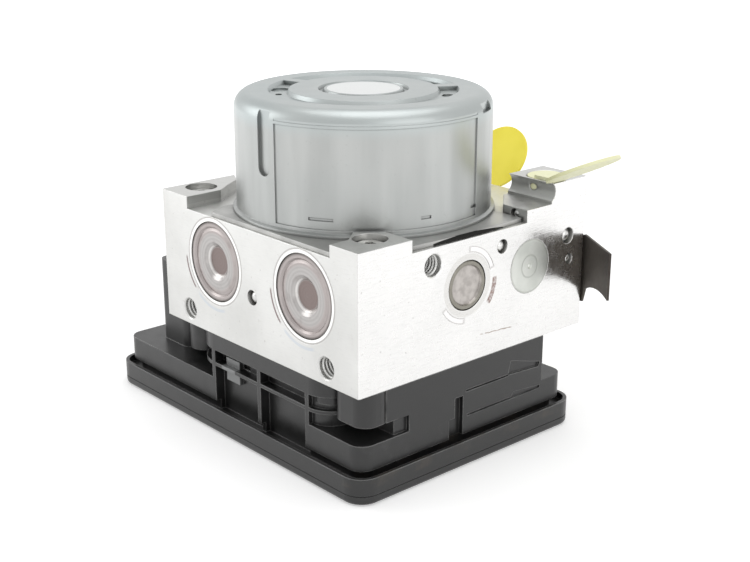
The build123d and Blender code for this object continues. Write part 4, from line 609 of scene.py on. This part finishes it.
THREAD_PITCH = 1.25 * MM
THREAD_DEPTH = 0.45 * MM
THREAD_STEPS = 28
THREAD_ROOT_IN_WALL = 0.02 * MM
THREAD_HALF_WIDTH = 0.42 * THREAD_PITCH
THREAD_START = 1.5 * MM
THREAD_PLAIN_LENGTH = 2.5 * MM


def thread(name, centre, outward, across, radius, turns, graph):
    """The crests of an internal thread: a triangular ridge wound up the bore's wall."""
    matrix = facing(centre, outward, across)
    tool = bmesh.new()
    rows = []
    for step in range(int(turns * THREAD_STEPS) + 1):
        turn = 2 * math.pi * step / THREAD_STEPS
        height = -THREAD_PITCH * step / THREAD_STEPS
        row = []
        for inset, rise in ((THREAD_ROOT_IN_WALL, -THREAD_HALF_WIDTH), (-THREAD_DEPTH, 0.0),
                            (THREAD_ROOT_IN_WALL, THREAD_HALF_WIDTH)):
            reach = radius + inset
            row.append(tool.verts.new(
                matrix @ Vector((reach * math.cos(turn), reach * math.sin(turn), height + rise))
            ))
        rows.append(row)
    for here, there in zip(rows, rows[1:]):
        for k in range(3):
            tool.faces.new((here[k], there[k], there[(k + 1) % 3], here[(k + 1) % 3]))
    tool.faces.new(rows[0])
    tool.faces.new(tuple(reversed(rows[-1])))
    bmesh.ops.recalc_face_normals(tool, faces=tool.faces)
    new_piece(name, tool, graph, "unit")


# ---------------------------------------------------------------- threads in the open holes
for mount_name, mount in MOUNTS.items():
    if mount["kind"] != "threaded_hole":
        continue
    axis = Vector(mount["axis"])
    radius = mount["dims"]["r_mm"] * MM
    length = mount["dims"]["length_mm"] * MM
    across = Vector((0, 0, 1)) if abs(axis.z) < 0.5 else Vector((1, 0, 0))
    mouth = {"X": Vector((RIGHT, 0, 0)), "Y": Vector((0, FRONT if axis.y < 0 else BLOCK_HIGH.y, 0)),
             "Z": Vector((0, 0, BLOCK_HIGH.z))}
    key = "XYZ"[max(range(3), key=lambda k: abs(axis[k]))]
    centre = Vector(mount["pos_m"])
    centre["XYZ".index(key)] = mouth[key]["XYZ".index(key)]
    turns = (length - THREAD_PLAIN_LENGTH) / THREAD_PITCH
    thread(f"thread_{mount_name}", centre - axis * THREAD_START, axis, across, radius, turns, BLOCK)

# ---------------------------------------------------------------- stage, lights and camera
CAMERA_PLACE = Vector((320.745, -267.72, 182.128)) * MM
CAMERA_AZIMUTH = 48.37
CAMERA_ELEVATION = 18.30
SENSOR_WIDTH = 36.0
FOCAL_LENGTH = 61.35
LAMP_TARGET = Vector((0, 0, 0.06))
camera_data = bpy.data.cameras.new("camera")
camera_data.sensor_width = SENSOR_WIDTH
camera_data.lens = FOCAL_LENGTH
camera_data.clip_start = 0.01
camera = bpy.data.objects.new("camera", camera_data)
camera.location = CAMERA_PLACE
camera.rotation_euler = (math.radians(90 - CAMERA_ELEVATION), 0.0, math.radians(CAMERA_AZIMUTH))
bpy.context.collection.objects.link(camera)
bpy.context.scene.camera = camera


def area_lamp(name, place, size, power):
    """A round soft box that faces the middle of the object."""
    data = bpy.data.lights.new(name, "AREA")
    data.shape = "DISK"
    data.size = size
    data.energy = power
    lamp = bpy.data.objects.new(name, data)
    lamp.location = place
    lamp.rotation_euler = (LAMP_TARGET - Vector(place)).to_track_quat("-Z", "Y").to_euler()
    bpy.context.collection.objects.link(lamp)


area_lamp("left_box", (-0.75, -0.55, 0.42), 0.7, 2.1)
area_lamp("right_box", (0.85, -0.02, 0.45), 0.8, 1.35)
area_lamp("top_box", (0.0, 0.1, 0.95), 0.9, 2.7)


def seen_directly(tree):
    """One for rays that show the background: from the camera, off gloss and through clear parts."""
    path = tree.nodes.new("ShaderNodeLightPath")
    total = path.outputs["Is Camera Ray"]
    for name in ("Is Glossy Ray", "Is Transmission Ray"):
        either = tree.nodes.new("ShaderNodeMath")
        either.operation = "MAXIMUM"
        tree.links.new(total, either.inputs[0])
        tree.links.new(path.outputs[name], either.inputs[1])
        total = either.outputs[0]
    return total


WORLD_LIGHT = 0.62
world = bpy.data.worlds.new("studio")
bpy.context.scene.world = world
world.use_nodes = True
backdrop = world.node_tree.nodes["Background"]
backdrop.inputs["Color"].default_value = (1, 1, 1, 1)
strength = world.node_tree.nodes.new("ShaderNodeMapRange")
strength.inputs["To Min"].default_value = WORLD_LIGHT
strength.inputs["To Max"].default_value = 1.0
world.node_tree.links.new(seen_directly(world.node_tree), strength.inputs["Value"])
world.node_tree.links.new(strength.outputs["Result"], backdrop.inputs["Strength"])

floor_tool = bmesh.new()
bmesh.ops.create_grid(floor_tool, x_segments=1, y_segments=1, size=4.0)
floor_mesh = bpy.data.meshes.new("floor")
floor_tool.to_mesh(floor_mesh)
floor_tool.free()
floor = bpy.data.objects.new("floor", floor_mesh)
floor.location = (0, 0, cad_box[0][2] - 0.0002)
bpy.context.collection.objects.link(floor)
floor_graph = Graph("floor_white")
floor_graph.shader.inputs["Base Color"].default_value = rgba(0.80, 0.80, 0.80)
floor_graph.shader.inputs["Roughness"].default_value = 0.8
floor_graph.shader.inputs["Emission Color"].default_value = rgba(1, 1, 1)
far_away = floor_graph.ramp(floor_graph.radius("X", 0.0, "Y", 0.0), 0.25, 0.8)
fill_in = floor_graph.math("ADD", floor_graph.math("MULTIPLY", far_away, 0.6), 0.38)
glow = floor_graph.math("MULTIPLY", seen_directly(floor_graph.tree), fill_in)
floor_graph.put(floor_graph.shader.inputs["Emission Strength"], glow)
floor_mesh.materials.append(floor_graph.material)

bpy.context.scene.view_settings.view_transform = "Standard"
